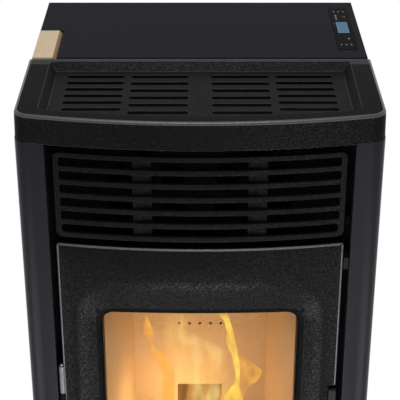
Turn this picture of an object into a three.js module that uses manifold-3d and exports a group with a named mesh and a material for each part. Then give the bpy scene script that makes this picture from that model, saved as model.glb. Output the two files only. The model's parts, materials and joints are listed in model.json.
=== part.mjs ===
// Pellet stove with a cast-iron top and door, painted steel sides and a rear hopper lid.
// Millimetres, +Z up, front towards -Y. The origin is on the floor, under the middle of the stove.

import * as THREE from 'three';
import { mergeVertices } from 'three/addons/utils/BufferGeometryUtils.js';
import Module from 'manifold-3d';

const wasm = await Module();
wasm.setup();

// ---------------------------------------------------------------------------------------------
// Driving dimensions
// ---------------------------------------------------------------------------------------------

const halfWidth = 251; // half the width over the upper edge of the cast top
const casingHalf = 253.5; // half the width over the painted side panels
const casingCorner = 25; // radius of their front edge
const topZ = 1000; // floor to the top of the stove
const frontY = -270; // middle of the bowed front edge
const flueEndY = 270; // end of the flue spigot
const backY = 208; // outside of the back panel
const bowRadius = 1075; // plan radius of the bowed front
const bowCentreY = frontY + bowRadius;
const gap = 0.3; // between pieces that touch

const sheet = 1.8; // casing sheet steel
const plate = 3; // welded steel of the carcass
const apron = 41; // height of the cast apron under the top
const frontSetback = 10; // grille, door and drawer stand this far behind the apron

const baseTop = 45; // top of the base plate
const standZ = baseTop + gap;
const frameFront = -214; // front of the carcass frame
const frameBack = frameFront + plate;
const casingTop = topZ - apron - 2;
const deckTop = 957; // hopper deck
const lidBottom = 961;
const lidFront = -35.5;
const lidBack = 210;
const lidHalf = 247;

const frontHalf = 202.2; // door and drawer front
const doorLow = 215;
const doorHigh = 802.3;
const doorBack = -221;
const windowHalf = 142;
const windowLow = 330;
const windowHigh = 685;

const hingeX = -204.5; // door hinge axis
const hingeY = -238;
const handleY = -231; // pivot of the door handle
const handleZ = 415;
const lidAxisY = 216;
const lidAxisZ = 992;

const chamberHalf = 172;
const chamberBack = 12;
const chamberLow = 236;
const chamberHigh = 940;
const floorZ = 300; // underside of the firebox floor
const floorThick = 6;
const boardBack = -17; // face of the rear fire board
const backHalf = 109; // half the width of the firebox at the back
const chuteHalf = 37.5;
const chuteLow = 327;
const chuteHigh = 402;

const augerFoot = new THREE.Vector3(0, 124, 340);
const augerTilt = THREE.MathUtils.degToRad(20);
const augerLength = 205;
const augerTubeRadius = 28;

const exhaust = { x: -127.5, y: 110, z: 185, width: 45, radius: 62 };
const flueZ = 143;
const blower = { low: 20, high: 200, y: 120, z: 115, radius: 48, rotor: 34 };

// ---------------------------------------------------------------------------------------------
// Materials
// ---------------------------------------------------------------------------------------------

function material(colour, roughness, metalness) {
  return new THREE.MeshStandardMaterial({ color: colour, roughness, metalness });
}

const castIron = material(0x2a2a2b, 0.75, 0.2);
const casingPaint = material(0x3a3a40, 0.45, 0.2);
const blackPaint = material(0x141416, 0.7, 0.1);
const carcassSteel = material(0x4a4a4c, 0.6, 0.6);
const zincSteel = material(0xa3a7ab, 0.4, 0.9);
const vermiculite = material(0xc39a6a, 0.95, 0);
const ceramicGlass = material(0x1d1a18, 0.05, 0);
const rope = material(0x55524d, 0.95, 0);
const wood = material(0xc6b49a, 0.6, 0);
const blackPlastic = material(0x1b1b1d, 0.35, 0);
const blueGlass = material(0x5a7f95, 0.15, 0);
const rubber = material(0x18181a, 0.9, 0);
const board = material(0x1f5a34, 0.6, 0);

// ---------------------------------------------------------------------------------------------
// Modelling tools
// ---------------------------------------------------------------------------------------------

function solid(geometry) {
  const bare = geometry.clone();
  bare.deleteAttribute('normal');
  bare.deleteAttribute('uv');
  const merged = mergeVertices(bare, 1e-4);
  return new wasm.Manifold(new wasm.Mesh({
    numProp: 3,
    vertProperties: Float32Array.from(merged.getAttribute('position').array),
    triVerts: Uint32Array.from(merged.index.array),
  }));
}

function fromSolid(manifold) {
  const mesh = manifold.getMesh();
  const geometry = new THREE.BufferGeometry();
  geometry.setAttribute('position', new THREE.BufferAttribute(mesh.vertProperties, 3));
  geometry.setIndex(new THREE.BufferAttribute(mesh.triVerts, 1));
  geometry.computeVertexNormals();
  return geometry;
}

function join(first, ...others) {
  return fromSolid(others.reduce((sum, other) => sum.add(solid(other)), solid(first)));
}

function cut(first, ...tools) {
  return fromSolid(tools.reduce((rest, tool) => rest.subtract(solid(tool)), solid(first)));
}

function common(first, second) {
  return fromSolid(solid(first).intersect(solid(second)));
}

// A block between two values on each axis.
function block([x0, x1], [y0, y1], [z0, z1]) {
  const geometry = new THREE.BoxGeometry(x1 - x0, y1 - y0, z1 - z0);
  return geometry.translate((x0 + x1) / 2, (y0 + y1) / 2, (z0 + z1) / 2);
}

// A round bar along one axis, between two values on it. The centre gives the other two, in order.
function bar(axis, radius, [from, to], [first, second], sides = 16) {
  const geometry = new THREE.CylinderGeometry(radius, radius, to - from, sides);
  const middle = (from + to) / 2;
  if (axis === 'x') return geometry.rotateZ(Math.PI / 2).translate(middle, first, second);
  if (axis === 'y') return geometry.translate(first, middle, second);
  return geometry.rotateX(Math.PI / 2).translate(first, second, middle);
}

// A flat outline pushed along one axis. Its own two axes are the other two, in order.
function prism(axis, outline, [from, to], curveSegments = 2) {
  const options = { depth: to - from, bevelEnabled: false, curveSegments };
  const geometry = new THREE.ExtrudeGeometry(outline, options);
  if (axis === 'y') return geometry.rotateX(Math.PI / 2).translate(0, to, 0);
  if (axis === 'x') {
    const turn = new THREE.Matrix4().makeBasis(
      new THREE.Vector3(0, 1, 0), new THREE.Vector3(0, 0, 1), new THREE.Vector3(1, 0, 0),
    );
    return geometry.applyMatrix4(turn).translate(from, 0, 0);
  }
  return geometry.translate(0, 0, from);
}

function polygon(...points) {
  return new THREE.Shape(points.map(([a, b]) => new THREE.Vector2(a, b)));
}

function roundedRect([a0, a1], [b0, b1], radius) {
  const shape = new THREE.Shape();
  shape.absarc(a1 - radius, b0 + radius, radius, -Math.PI / 2, 0);
  shape.absarc(a1 - radius, b1 - radius, radius, 0, Math.PI / 2);
  shape.absarc(a0 + radius, b1 - radius, radius, Math.PI / 2, Math.PI);
  shape.absarc(a0 + radius, b0 + radius, radius, Math.PI, Math.PI * 1.5);
  shape.closePath();
  return shape;
}

function withHoles(shape, ...holes) {
  shape.holes.push(...holes);
  return shape;
}

// A solid of revolution about +Z, from [radius, z] pairs that start and end on the axis.
function turned(profile, sides = 16) {
  const points = profile.map(([radius, z]) => new THREE.Vector2(radius, z));
  return new THREE.LatheGeometry(points, sides).rotateX(Math.PI / 2);
}

// A skin through rings of equal point counts. It closes on itself, or has flat convex ends.
function loft(rings, flatEnds) {
  const count = rings[0].length;
  const index = [];
  const bands = flatEnds ? rings.length - 1 : rings.length;
  for (let ring = 0; ring < bands; ring += 1) {
    const next = (ring + 1) % rings.length;
    for (let i = 0; i < count; i += 1) {
      const j = (i + 1) % count;
      const [a, b] = [ring * count + i, ring * count + j];
      const [c, d] = [next * count + j, next * count + i];
      index.push(a, b, c, a, c, d);
    }
  }
  if (flatEnds) {
    const last = bands * count;
    for (let i = 1; i < count - 1; i += 1) {
      index.push(0, i + 1, i, last, last + i, last + i + 1);
    }
  }
  const geometry = new THREE.BufferGeometry().setFromPoints(rings.flat());
  geometry.setIndex(index);
  return facingOut(geometry);
}

function facingOut(geometry) {
  const position = geometry.getAttribute('position');
  const index = geometry.index.array;
  const corner = [new THREE.Vector3(), new THREE.Vector3(), new THREE.Vector3()];
  let volume = 0;
  for (let i = 0; i < index.length; i += 3) {
    corner.forEach((point, k) => point.fromBufferAttribute(position, index[i + k]));
    volume += corner[0].dot(corner[1].clone().cross(corner[2]));
  }
  if (volume < 0) {
    for (let i = 0; i < index.length; i += 3) [index[i], index[i + 1]] = [index[i + 1], index[i]];
  }
  return geometry;
}

function mirrored(low, high, side) {
  return side > 0 ? [low, high] : [-high, -low];
}

// ---------------------------------------------------------------------------------------------
// The bowed front
// ---------------------------------------------------------------------------------------------

function bowY(x, setback) {
  return bowCentreY - Math.sqrt((bowRadius - setback) ** 2 - x ** 2);
}

// Plan outline with a straight back and sides, a bowed front and round corners.
function bowedPlan({ half, back, setback, corner, backCorner = 3 }) {
  const points = [];
  const arc = (x, y, radius, from, to, first, last, steps) => {
    for (let k = first; k <= last; k += 1) {
      const angle = from + ((to - from) * k) / steps;
      points.push(new THREE.Vector2(x + radius * Math.cos(angle), y + radius * Math.sin(angle)));
    }
  };
  const radius = bowRadius - setback;
  const cornerX = half - corner;
  const cornerY = bowCentreY - Math.sqrt((radius - corner) ** 2 - cornerX ** 2);
  const swing = Math.atan2(cornerY - bowCentreY, cornerX);
  arc(half - backCorner, back - backCorner, backCorner, Math.PI / 2, 0, 0, 2, 2);
  arc(cornerX, cornerY, corner, 0, swing, 0, 4, 4);
  arc(0, bowCentreY, radius, swing, -Math.PI - swing, 1, 13, 14);
  arc(-cornerX, cornerY, corner, -Math.PI - swing, -Math.PI, 0, 4, 4);
  arc(backCorner - half, back - backCorner, backCorner, Math.PI, Math.PI / 2, 0, 2, 2);
  return points;
}

function atHeight(points, z) {
  return points.map((point) => new THREE.Vector3(point.x, point.y, z));
}

// A bowed sheet standing between two heights.
function bowedBand(half, setback, thickness, heights, steps = 6) {
  const radius = bowRadius - setback;
  const inner = radius - thickness;
  const shape = new THREE.Shape();
  const outerAngle = Math.asin(half / radius);
  const innerAngle = Math.asin(half / inner);
  shape.absarc(0, bowCentreY, radius, -Math.PI / 2 - outerAngle, -Math.PI / 2 + outerAngle, false);
  shape.absarc(0, bowCentreY, inner, -Math.PI / 2 + innerAngle, -Math.PI / 2 - innerAngle, true);
  return prism('z', shape, heights, steps);
}

// A ring around a rounded rectangle in the front view; depth gives its Y at each X.
function frontRing([z0, z1], half, radius, depth) {
  const points = [];
  const add = (x, z) => points.push(new THREE.Vector3(x, depth(x), z));
  const corner = (x, z, start) => {
    for (let k = 0; k <= 4; k += 1) {
      const angle = start + (Math.PI / 2) * (k / 4);
      add(x + radius * Math.cos(angle), z + radius * Math.sin(angle));
    }
  };
  const reach = half - radius;
  const between = 7;
  corner(reach, z0 + radius, -Math.PI / 2);
  corner(reach, z1 - radius, 0);
  for (let k = 1; k < between; k += 1) add(reach - (2 * reach * k) / between, z1);
  corner(-reach, z1 - radius, Math.PI / 2);
  corner(-reach, z0 + radius, Math.PI);
  for (let k = 1; k < between; k += 1) add(-reach + (2 * reach * k) / between, z0);
  return points;
}

// ---------------------------------------------------------------------------------------------
// Scene graph
// ---------------------------------------------------------------------------------------------

const stove = new THREE.Group();

function add(name, geometry, finish, parent = stove) {
  const mesh = new THREE.Mesh(geometry, finish);
  mesh.name = name;
  parent.add(mesh);
  return mesh;
}

// ---------------------------------------------------------------------------------------------
// Base, feet and casing
// ---------------------------------------------------------------------------------------------

function basePlate() {
  const outline = bowedPlan({
    half: casingHalf, back: backY, setback: frontSetback + 3, corner: casingCorner,
  });
  const flat = prism('z', new THREE.Shape(outline), [baseTop - plate, baseTop]);
  const kick = bowedBand(frontHalf, frontSetback, 4, [baseTop - plate, 70]);
  return join(flat, kick);
}

function levellingFoot() {
  return turned([
    [0, 0], [19, 0], [21, 2], [21, 8], [9, 12], [9, 20], [6, 20],
    [6, baseTop - plate - gap], [0, baseTop - plate - gap],
  ], 10);
}

// Painted sheet with a large round front edge, folded inwards at the front, back and top.
function sidePanel(side) {
  const corner = casingCorner;
  const centre = [casingHalf - corner, -216];
  const lip = 211.7;
  const front = centre[1] - corner;
  const rear = backY - sheet - gap;
  const shape = new THREE.Shape();
  const flip = (x) => side * x;
  const sweep = (radius, from, to) => {
    for (let k = 0; k <= 8; k += 1) {
      const angle = from + ((to - from) * k) / 8;
      shape.lineTo(flip(centre[0] + radius * Math.cos(angle)), centre[1] + radius * Math.sin(angle));
    }
  };
  shape.moveTo(flip(230), rear);
  shape.lineTo(flip(casingHalf), rear);
  sweep(corner, 0, -Math.PI / 2);
  shape.lineTo(flip(lip), front);
  shape.lineTo(flip(lip), frameFront - gap);
  shape.lineTo(flip(lip + sheet), frameFront - gap);
  shape.lineTo(flip(lip + sheet), front + sheet);
  sweep(corner - sheet, -Math.PI / 2, 0);
  shape.lineTo(flip(casingHalf - sheet), rear - sheet);
  shape.lineTo(flip(230), rear - sheet);
  const wall = prism('z', shape, [standZ, casingTop]);
  const topFold = block(mirrored(222, casingHalf - 1, side), [-200, rear - 1], [951.9, 953.7]);
  return join(wall, topFold);
}

// Rear sheet with the flue hole, the air inlet hole, blower louvres and the socket cut-out.
function backPanel() {
  const [half, high] = [casingHalf - 1, deckTop - plate - gap];
  const louvres = [];
  for (let row = 0; row < 4; row += 1) {
    for (const x of [30, 113]) {
      const z = 88 + row * 16;
      louvres.push(block([x, x + 74], [backY - 10, backY + 10], [z, z + 6]));
    }
  }
  return cut(
    block([-half, half], [backY - sheet, backY], [standZ, high]),
    ...louvres,
    bar('y', 41, [backY - 10, backY + 10], [exhaust.x, flueZ], 20),
    bar('y', 26, [backY - 10, backY + 10], [110, 268], 20),
    block([169.5, 198.5], [backY - 10, backY + 10], [299.5, 358.5]),
  );
}

// Flat frame that closes the front of the carcass round the fire, the air tubes and the ash tray.
function frontFrame() {
  const half = casingHalf - 4;
  const outline = polygon([-half, standZ], [half, standZ], [half, 950], [-half, 950]);
  const shape = withHoles(
    outline,
    roundedRect([-150, 150], [312, 702], 12),
    polygon([-150, 815], [150, 815], [150, 925], [-150, 925]),
    roundedRect([-167.5, 167.5], [83, 192], 3),
    roundedRect([188, 204.5], [408.8, 433], 1),
  );
  const sheetFrame = prism('y', shape, [frameFront, frameBack], 1);
  const keeper = block([187, 205.5], [frameBack - 1, -200], [398, 405]);
  const roller = bar('x', 4, [187, 205.5], [-204, 404.5], 12);
  const gusset = prism('y', polygon([203, 820.5], [211, 827], [211, 838], [203, 838]),
    [frameFront - 14, frameFront + 1]);
  return join(sheetFrame, keeper, roller, gusset);
}

// ---------------------------------------------------------------------------------------------
// Cast top
// ---------------------------------------------------------------------------------------------

const castBack = -38.6;
const recessDepth = 12;

function topCasting() {
  const outer = (inset, draft) => bowedPlan({
    half: halfWidth - inset + draft,
    back: castBack - inset,
    setback: inset,
    corner: 24 - inset,
    backCorner: 4,
  });
  const wall = 7;
  const inner = bowedPlan({
    half: halfWidth - wall, back: castBack - wall, setback: wall, corner: 24 - wall,
  });
  const recessTop = bowedPlan({ half: 220, back: -49, setback: 22, corner: 9 });
  const recessFloor = bowedPlan({ half: 209, back: -61, setback: 26, corner: 7 });
  const edge = 4.5;
  const body = loft([
    atHeight(inner, topZ - 18),
    atHeight(inner, topZ - apron),
    atHeight(outer(1, 1), topZ - apron),
    atHeight(outer(0, 1), topZ - apron + 1),
    atHeight(outer(0, 0), topZ - edge),
    atHeight(outer(edge * 0.3, 0), topZ - edge * 0.3),
    atHeight(outer(edge, 0), topZ),
    atHeight(recessTop, topZ),
    atHeight(recessFloor, topZ - recessDepth),
  ], true);

  const legs = [];
  for (const x of [-232, 232]) {
    for (const y of [-188, -62]) legs.push(bar('z', 7, [954, topZ - 17], [x, y], 8));
  }
  return cut(join(body, ...legs), ...topSlots());
}

// Four groups of six round-ended slots. The outer groups sit closer together, after the bow.
function topSlots() {
  const groups = [
    { low: 16, high: 99.5, pitch: 25.7 },
    { low: 108, high: 191, pitch: 23.4 },
  ];
  const half = 5.2;
  const slots = [];
  for (const { low, high, pitch } of groups) {
    for (const side of [-1, 1]) {
      for (let row = 0; row < 6; row += 1) {
        const y = -80.5 - row * pitch;
        const shape = roundedRect(mirrored(low, high, side), [y - half, y + half], half - 0.01);
        slots.push(prism('z', shape, [topZ - 20, topZ - recessDepth + 1], 1));
      }
    }
  }
  return slots;
}

// ---------------------------------------------------------------------------------------------
// Front grille
// ---------------------------------------------------------------------------------------------

const grilleLow = 813.7;
const grilleHigh = 944.6;

// Bowed casting with six long slots, on two channel legs that reach back to the frame.
function frontGrille() {
  const [half, thick, barHeight, slotCount] = [200.8, 7, 8, 6];
  const slotHeight = (grilleHigh - grilleLow - barHeight * (slotCount + 1)) / slotCount;
  const band = bowedBand(half + 1, frontSetback, thick, [grilleLow - 1, grilleHigh + 1], 5);
  const face = prism('y', roundedRect([-half, half], [grilleLow, grilleHigh], 9), [-265, -225], 3);
  const slots = [];
  for (let row = 0; row < slotCount; row += 1) {
    const low = grilleLow + barHeight + row * (slotHeight + barHeight);
    const heights = [low, low + slotHeight];
    const rounded = prism('y', roundedRect([-192.9, 192.9], heights, 3), [-270, -225], 1);
    slots.push(row === 0 ? rounded : block([-192.9, 192.9], [-270, -225], heights));
  }
  const legs = [-1, 1].map((side) => {
    const [low, high] = mirrored(66, 92, side);
    const shell = block([low, high], [-251, frameFront - gap], [820, 940]);
    return cut(shell, block([low + 2, high - 2], [-248, -200], [800, 960]));
  });
  return join(cut(common(band, face), ...slots), ...legs);
}

// ---------------------------------------------------------------------------------------------
// Carcass, firebox and heat exchanger
// ---------------------------------------------------------------------------------------------

const chamberFront = frameBack + gap;

function combustionChamber() {
  const inside = chamberHalf - plate;
  const shell = cut(
    block([-chamberHalf, chamberHalf], [chamberFront, chamberBack], [chamberLow, chamberHigh]),
    block([-inside, inside], [chamberFront - 5, chamberBack - plate],
      [chamberLow + plate, chamberHigh - plate]),
  );
  const ledges = [-1, 1].map((side) => (
    block(mirrored(155, inside + 1, side), [chamberFront + 2, chamberBack - 2], [292, floorZ - gap])
  ));
  const backWall = [chamberBack - plate - 5, chamberBack + 5];
  return cut(
    join(shell, ...ledges),
    block([-150, 150], backWall, [820, 920]),
    block([-chuteHalf, chuteHalf], backWall, [chuteLow, chuteHigh]),
    block([-100, -66], backWall, [730, 770]),
    bar('y', 5.4, backWall, [0, 285], 12),
    bar('y', 24, backWall, [110, 268], 16),
    block([-125, 125], [-192, -30], [chamberLow - 5, chamberLow + 10]),
  );
}

// Channel that carries the chamber and has the runner of the ash tray on its inside.
function chamberStand(side) {
  const flip = (x, z) => [side * x, z];
  const [outer, inner, high] = [171.3, 169.3, chamberLow - gap];
  const shape = polygon(
    flip(outer, standZ), flip(outer, high), flip(150, high), flip(150, high - 2),
    flip(inner, high - 2), flip(inner, 86), flip(156, 86), flip(156, 84), flip(inner, 84),
    flip(inner, standZ + 2), flip(150, standZ + 2), flip(150, standZ),
  );
  return prism('y', shape, [-210, 0]);
}

// Two plates joined by eight tubes: room air blows through them, smoke passes round them.
function heatExchanger() {
  const tubes = [];
  const bores = [];
  for (const z of [845, 895]) {
    for (const x of [-112, -37.5, 37.5, 112]) {
      tubes.push(bar('y', 20, [frameFront + 1, chamberBack - 1], [x, z], 8));
      bores.push(bar('y', 18, [frameFront - 5, chamberBack + 5], [x, z], 8));
    }
  }
  const front = block([-149.7, 149.7], [frameFront, frameBack], [815.3, 924.7]);
  const rear = block([-149.7, 149.7], [chamberBack - plate, chamberBack], [820.3, 919.7]);
  return cut(join(front, rear, ...tubes), ...bores);
}

const boardFoot = floorZ + floorThick + gap;
const boardTop = 700;

// Cast floor of the firebox: a square seat for the burn pot and ash slots on both sides.
function fireboxFloor() {
  const slab = block([-168, 168], [-207, 8.5], [floorZ, floorZ + floorThick]);
  const cuts = [block([-50, 50], [-112, -28], [floorZ - 5, floorZ + 20])];
  for (const side of [-1, 1]) {
    for (let row = 0; row < 4; row += 1) {
      const y = -184 + row * 40;
      cuts.push(block(mirrored(66, 104, side), [y, y + 16], [floorZ - 5, floorZ + 20]));
    }
  }
  return cut(slab, ...cuts);
}

function sideBoard(side) {
  const shape = polygon(
    [side * windowHalf, -207], [side * (windowHalf + 24), -207],
    [side * (backHalf + 24), boardBack - gap], [side * backHalf, boardBack - gap],
  );
  return prism('z', shape, [boardFoot, boardTop]);
}

function backBoard() {
  const slab = block([-134, 134], [boardBack, 8.5], [boardFoot, boardTop]);
  const holes = [-2, -1, 0, 1, 2].map((k) => bar('y', 2.6, [-30, 20], [k * 17.3, 524], 8));
  return cut(slab, block([-chuteHalf, chuteHalf], [-30, 20], [chuteLow, chuteHigh]), ...holes);
}

function baffleBoard() {
  const shape = polygon([-165, -150], [165, -150], [165, 8.5], [-165, 8.5]);
  return prism('z', shape, [boardTop + gap, boardTop + 18]);
}

// Cast cup with a flange that rests on the firebox floor, and air holes in its bottom and sides.
function burnPot() {
  const flangeZ = floorZ + floorThick + gap;
  const cup = join(
    block([-48, 48], [-110, -30], [262, 330]),
    block([-56, 56], [-118, -22], [flangeZ, flangeZ + 5]),
  );
  const cuts = [block([-42, 42], [-104, -36], [268, 340])];
  for (const x of [-26, 0, 26]) {
    for (const y of [-90, -70, -50]) cuts.push(bar('z', 3, [255, 275], [x, y], 6));
    cuts.push(bar('y', 3, [-120, -100], [x, 290], 6));
  }
  return cut(cup, ...cuts);
}

// Ceramic ignition rod with its threaded collar, from the back wall to the pot.
function igniter() {
  const rod = turned([[0, -29.6], [3.5, -29.6], [4.5, -27], [4.5, 12.4], [9, 12.4], [9, 22],
    [6.5, 22], [6.5, 56], [2, 58], [2, 74], [0, 74]], 12);
  return rod.rotateX(-Math.PI / 2).rotateY(Math.PI).translate(0, 0, 285);
}

// ---------------------------------------------------------------------------------------------
// Pellet feed: hopper, auger and drop chute
// ---------------------------------------------------------------------------------------------

const throat = { half: 25.5, low: 124, high: 173, z: 430 };
const hopperFlangeBack = 203;
const deckBack = 209.4; // just in front of the lid hinges

function rectangleAt([x0, x1], [y0, y1], z) {
  return [[x0, y0], [x1, y0], [x1, y1], [x0, y1]].map(([x, y]) => new THREE.Vector3(x, y, z));
}

// Folded sheet funnel that hangs on the deck by its flange.
function hopper() {
  const wall = 1.5;
  const body = (grow, z) => rectangleAt([-197.5 - grow, 197.5 + grow], [47.5 - grow, 192.5 + grow], z);
  const neck = (grow, z) => rectangleAt(
    [-throat.half - grow, throat.half + grow], [throat.low - grow, throat.high + grow], z,
  );
  const flange = (z) => rectangleAt([-210, 210], [36, hopperFlangeBack], z);
  return loft([
    flange(deckTop + gap), flange(deckTop + gap + wall),
    body(0, deckTop + gap + wall), body(0, 760),
    neck(0, throat.z + gap + 8), neck(0, throat.z + gap),
    neck(wall, throat.z + gap), neck(wall, throat.z + gap + 8),
    body(wall, 760), body(wall, deckTop + gap),
  ], false);
}

// Deck plate with a rear tongue that fits between the folds of the side panels.
function hopperDeck() {
  const [half, tongue, notchY] = [casingHalf - 3, 229.5, 203.8];
  const outline = polygon([-half, -36], [half, -36], [half, notchY], [tongue, notchY], [tongue, deckBack],
    [-tongue, deckBack], [-tongue, notchY], [-half, notchY]);
  const shape = withHoles(outline, polygon([-199.6, 45.4], [199.6, 45.4], [199.6, 194.6], [-199.6, 194.6]));
  return prism('z', shape, [deckTop - plate, deckTop]);
}

// Finger guard across the hopper mouth: a sheet with punched windows.
function hopperGuard() {
  const windows = [];
  for (let column = 0; column < 5; column += 1) {
    for (let row = 0; row < 2; row += 1) {
      const [x, y] = [-190 + column * 77, 55 + row * 68];
      windows.push(block([x, x + 72], [y, y + 62], [910, 930]));
    }
  }
  return cut(block([-197.2, 197.2], [47.8, 192.2], [918, 920]), ...windows);
}

// Places a geometry built along +Z on the tilted auger axis, starting at the auger's foot.
function onAuger(geometry) {
  return geometry.rotateX(augerTilt).translate(augerFoot.x, augerFoot.y, augerFoot.z);
}

// Inclined tube with an inlet under the hopper, a window into the chute and a top bearing.
function augerTube() {
  const inletOutside = polygon([119, throat.z], [176, throat.z], [176, 396], [142, 348], [115, 376]);
  const inletInside = polygon([throat.low, 440], [throat.high, 440], [173, 397], [139, 353],
    [108, 376]);
  const outside = join(
    onAuger(bar('z', augerTubeRadius, [0, augerLength], [0, 0], 16)),
    prism('x', inletOutside, [-28, 28]),
  );
  return cut(
    outside,
    onAuger(bar('z', augerTubeRadius - 2.5, [-5, augerLength - 3], [0, 0], 16)),
    prism('x', inletInside, [-throat.half, throat.half]),
    onAuger(bar('z', 6.5, [augerLength - 10, augerLength + 10], [0, 0], 12)),
    onAuger(block([-20, 20], [-40, 0], [158, 194])),
  );
}

// A flat blade wound round the shaft: one rectangular section carried along a helix.
function augerScrew() {
  const [outer, inner, thick, pitch, steps] = [23.5, 5, 3, 41, 10];
  const [from, to] = [6, 193];
  const total = Math.round(((to - from) / pitch) * steps);
  const rings = [];
  for (let k = 0; k <= total; k += 1) {
    const angle = (k / steps) * Math.PI * 2;
    const z = from + ((to - from - thick) * k) / total;
    const at = (radius, height) => (
      new THREE.Vector3(radius * Math.cos(angle), radius * Math.sin(angle), height)
    );
    rings.push([at(inner, z), at(outer, z), at(outer, z + thick), at(inner, z + thick)]);
  }
  const shaft = bar('z', 6, [gap, augerLength + 4], [0, 0], 8);
  return join(shaft, loft(rings, true));
}

function augerGearmotor() {
  const gearbox = prism('z', roundedRect([-32, 32], [-30, 26], 5), [-34, -gap]);
  const motor = bar('z', 25, [-74, -33], [0, -2]);
  const cap = bar('z', 9, [-80, -70], [0, -2], 12);
  return join(gearbox, motor, cap);
}

// Drop chute from the auger window to the opening over the burn pot.
function pelletChute() {
  const outside = polygon([chamberBack + gap, 322], [16, 322], [77, 385], [77, 535],
    [chamberBack + gap, 535]);
  const inside = polygon([10, chuteLow], [13, chuteLow], [75, 389], [75, 533], [14.3, 533],
    [14.3, chuteHigh], [10, chuteHigh]);
  return cut(
    prism('x', outside, [-chuteHalf - 2, chuteHalf + 2]),
    prism('x', inside, [-chuteHalf, chuteHalf]),
    onAuger(bar('z', augerTubeRadius + gap, [-20, augerLength + 20], [0, 0], 16)),
  );
}

// ---------------------------------------------------------------------------------------------
// Smoke path and room air
// ---------------------------------------------------------------------------------------------

// Box duct that takes smoke from the top of the chamber down to the eye of the exhaust fan.
function smokeDuct() {
  const shellOutline = polygon([chamberBack + gap, 775], [42, 775], [42, 240], [148, 228], [148, 140],
    [chamberBack + gap, 140]);
  const hollowOutline = polygon([14, 773], [40, 773], [40, 238], [146, 226], [146, 142], [14, 142]);
  const [low, high] = [exhaust.x + exhaust.width / 2 + gap, -62];
  return cut(
    prism('x', shellOutline, [low, high]),
    prism('x', hollowOutline, [low + 2, high - 2]),
    block([-100, -66], [0, 20], [730, 770]),
    bar('x', 28, [low - 5, low + 5], [exhaust.y, exhaust.z]),
  );
}

// Scroll housing on a foot, with a square outlet at the bottom that leads back to the spigot.
function exhaustHousing() {
  const { y, z, radius } = exhaust;
  const [low, high] = [exhaust.x - exhaust.width / 2, exhaust.x + exhaust.width / 2];
  const wall = 2;
  const outletTop = flueZ + 22;
  return cut(
    join(
      bar('x', radius, [low, high], [y, z], 20),
      block([low, high], [y, 188], [z - radius, outletTop]),
      block([low + 8, high - 8], [y - 20, y + 20], [standZ, z - radius + 4]),
    ),
    join(
      bar('x', radius - wall, [low + wall, high - wall], [y, z], 20),
      block([low + wall, high - wall], [y, 200], [z - radius + wall, outletTop - wall]),
    ),
    bar('x', 28, [high - 5, high + 5], [y, z]),
    bar('x', 6, [low - 5, low + 5], [y, z], 12),
  );
}

function exhaustImpeller() {
  const [low, high] = [exhaust.x - 17, exhaust.x + 15];
  const disc = bar('x', 52, [low, low + 2], [0, 0]);
  const hub = bar('x', 9, [low - 1, high - 6], [0, 0], 16);
  const shaft = bar('x', 4, [low - 5.5, low + 4], [0, 0], 12);
  const blades = [];
  for (let k = 0; k < 6; k += 1) {
    const blade = block([low + 1, high - 2], [7, 51], [-1, 1]);
    blades.push(blade.rotateX((k * Math.PI) / 3));
  }
  return join(disc, hub, shaft, ...blades);
}

function exhaustMotor() {
  const profile = [[0, 0], [34, 0], [34, 3], [27, 4], [27, 34], [22, 40], [8, 40], [8, 46], [0, 46]];
  return turned(profile).rotateY(-Math.PI / 2);
}

function flueSpigot() {
  const [outer, inner, flange] = [40, 38, 45];
  const from = 188 + gap;
  const tube = bar('y', outer, [from, flueEndY], [exhaust.x, flueZ], 24);
  const collar = bar('y', flange, [from, from + 2.5], [exhaust.x, flueZ], 24);
  return cut(join(tube, collar), bar('y', inner, [from - 5, flueEndY + 5], [exhaust.x, flueZ], 24));
}

function airInletPipe() {
  const ends = [chamberBack + gap, 244];
  return cut(
    bar('y', 25, ends, [110, 268], 24),
    bar('y', 23, [ends[0] - 5, ends[1] + 5], [110, 268], 24),
  );
}

// Cross-flow blower: drum rotor in a scroll that draws through the louvres and blows upwards.
function blowerHousing() {
  const { low, high, y, z, radius } = blower;
  const wall = 2;
  const feet = [[40, 60], [160, 180]].map((x) => block(x, [105, 135], [standZ, z - radius + 3]));
  return cut(
    join(
      bar('x', radius, [low, high], [y, z], 20),
      block([low, high], [y - radius, y - 6], [z, 225]),
      ...feet,
    ),
    join(
      bar('x', radius - wall, [low + wall, high - wall], [y, z], 20),
      block([low + wall, high - wall], [y - radius + wall, y - 6 - wall], [z, 240]),
    ),
    block([low + 8, high - 8], [y + 20, y + 80], [z - 30, z + 30]),
    bar('x', 5.5, [low - 5, high + 5], [y, z], 12),
  );
}

function blowerRotor() {
  const { low, high, rotor } = blower;
  const [from, to] = [low + 8, high - 8];
  const discs = [from, to - 2].map((x) => bar('x', rotor, [x, x + 2], [0, 0], 16));
  const shaft = bar('x', 5, [low - 3, high + 2.4], [0, 0], 12);
  const blades = [];
  for (let k = 0; k < 12; k += 1) {
    const blade = block([from + 1, to - 1], [-0.6, 0.6], [rotor - 9, rotor - 0.5]);
    blades.push(blade.translate(0, 3, 0).rotateX((k * Math.PI) / 6));
  }
  return join(...discs, shaft, ...blades);
}

function blowerMotor() {
  const { high, y, z } = blower;
  const shell = bar('x', 28, [high + 3, high + 34], [y, z]);
  const foot = block([high + 8, high + 30], [y - 16, y + 16], [standZ, z - 20]);
  return join(shell, foot);
}

// ---------------------------------------------------------------------------------------------
// Electrics
// ---------------------------------------------------------------------------------------------

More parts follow.
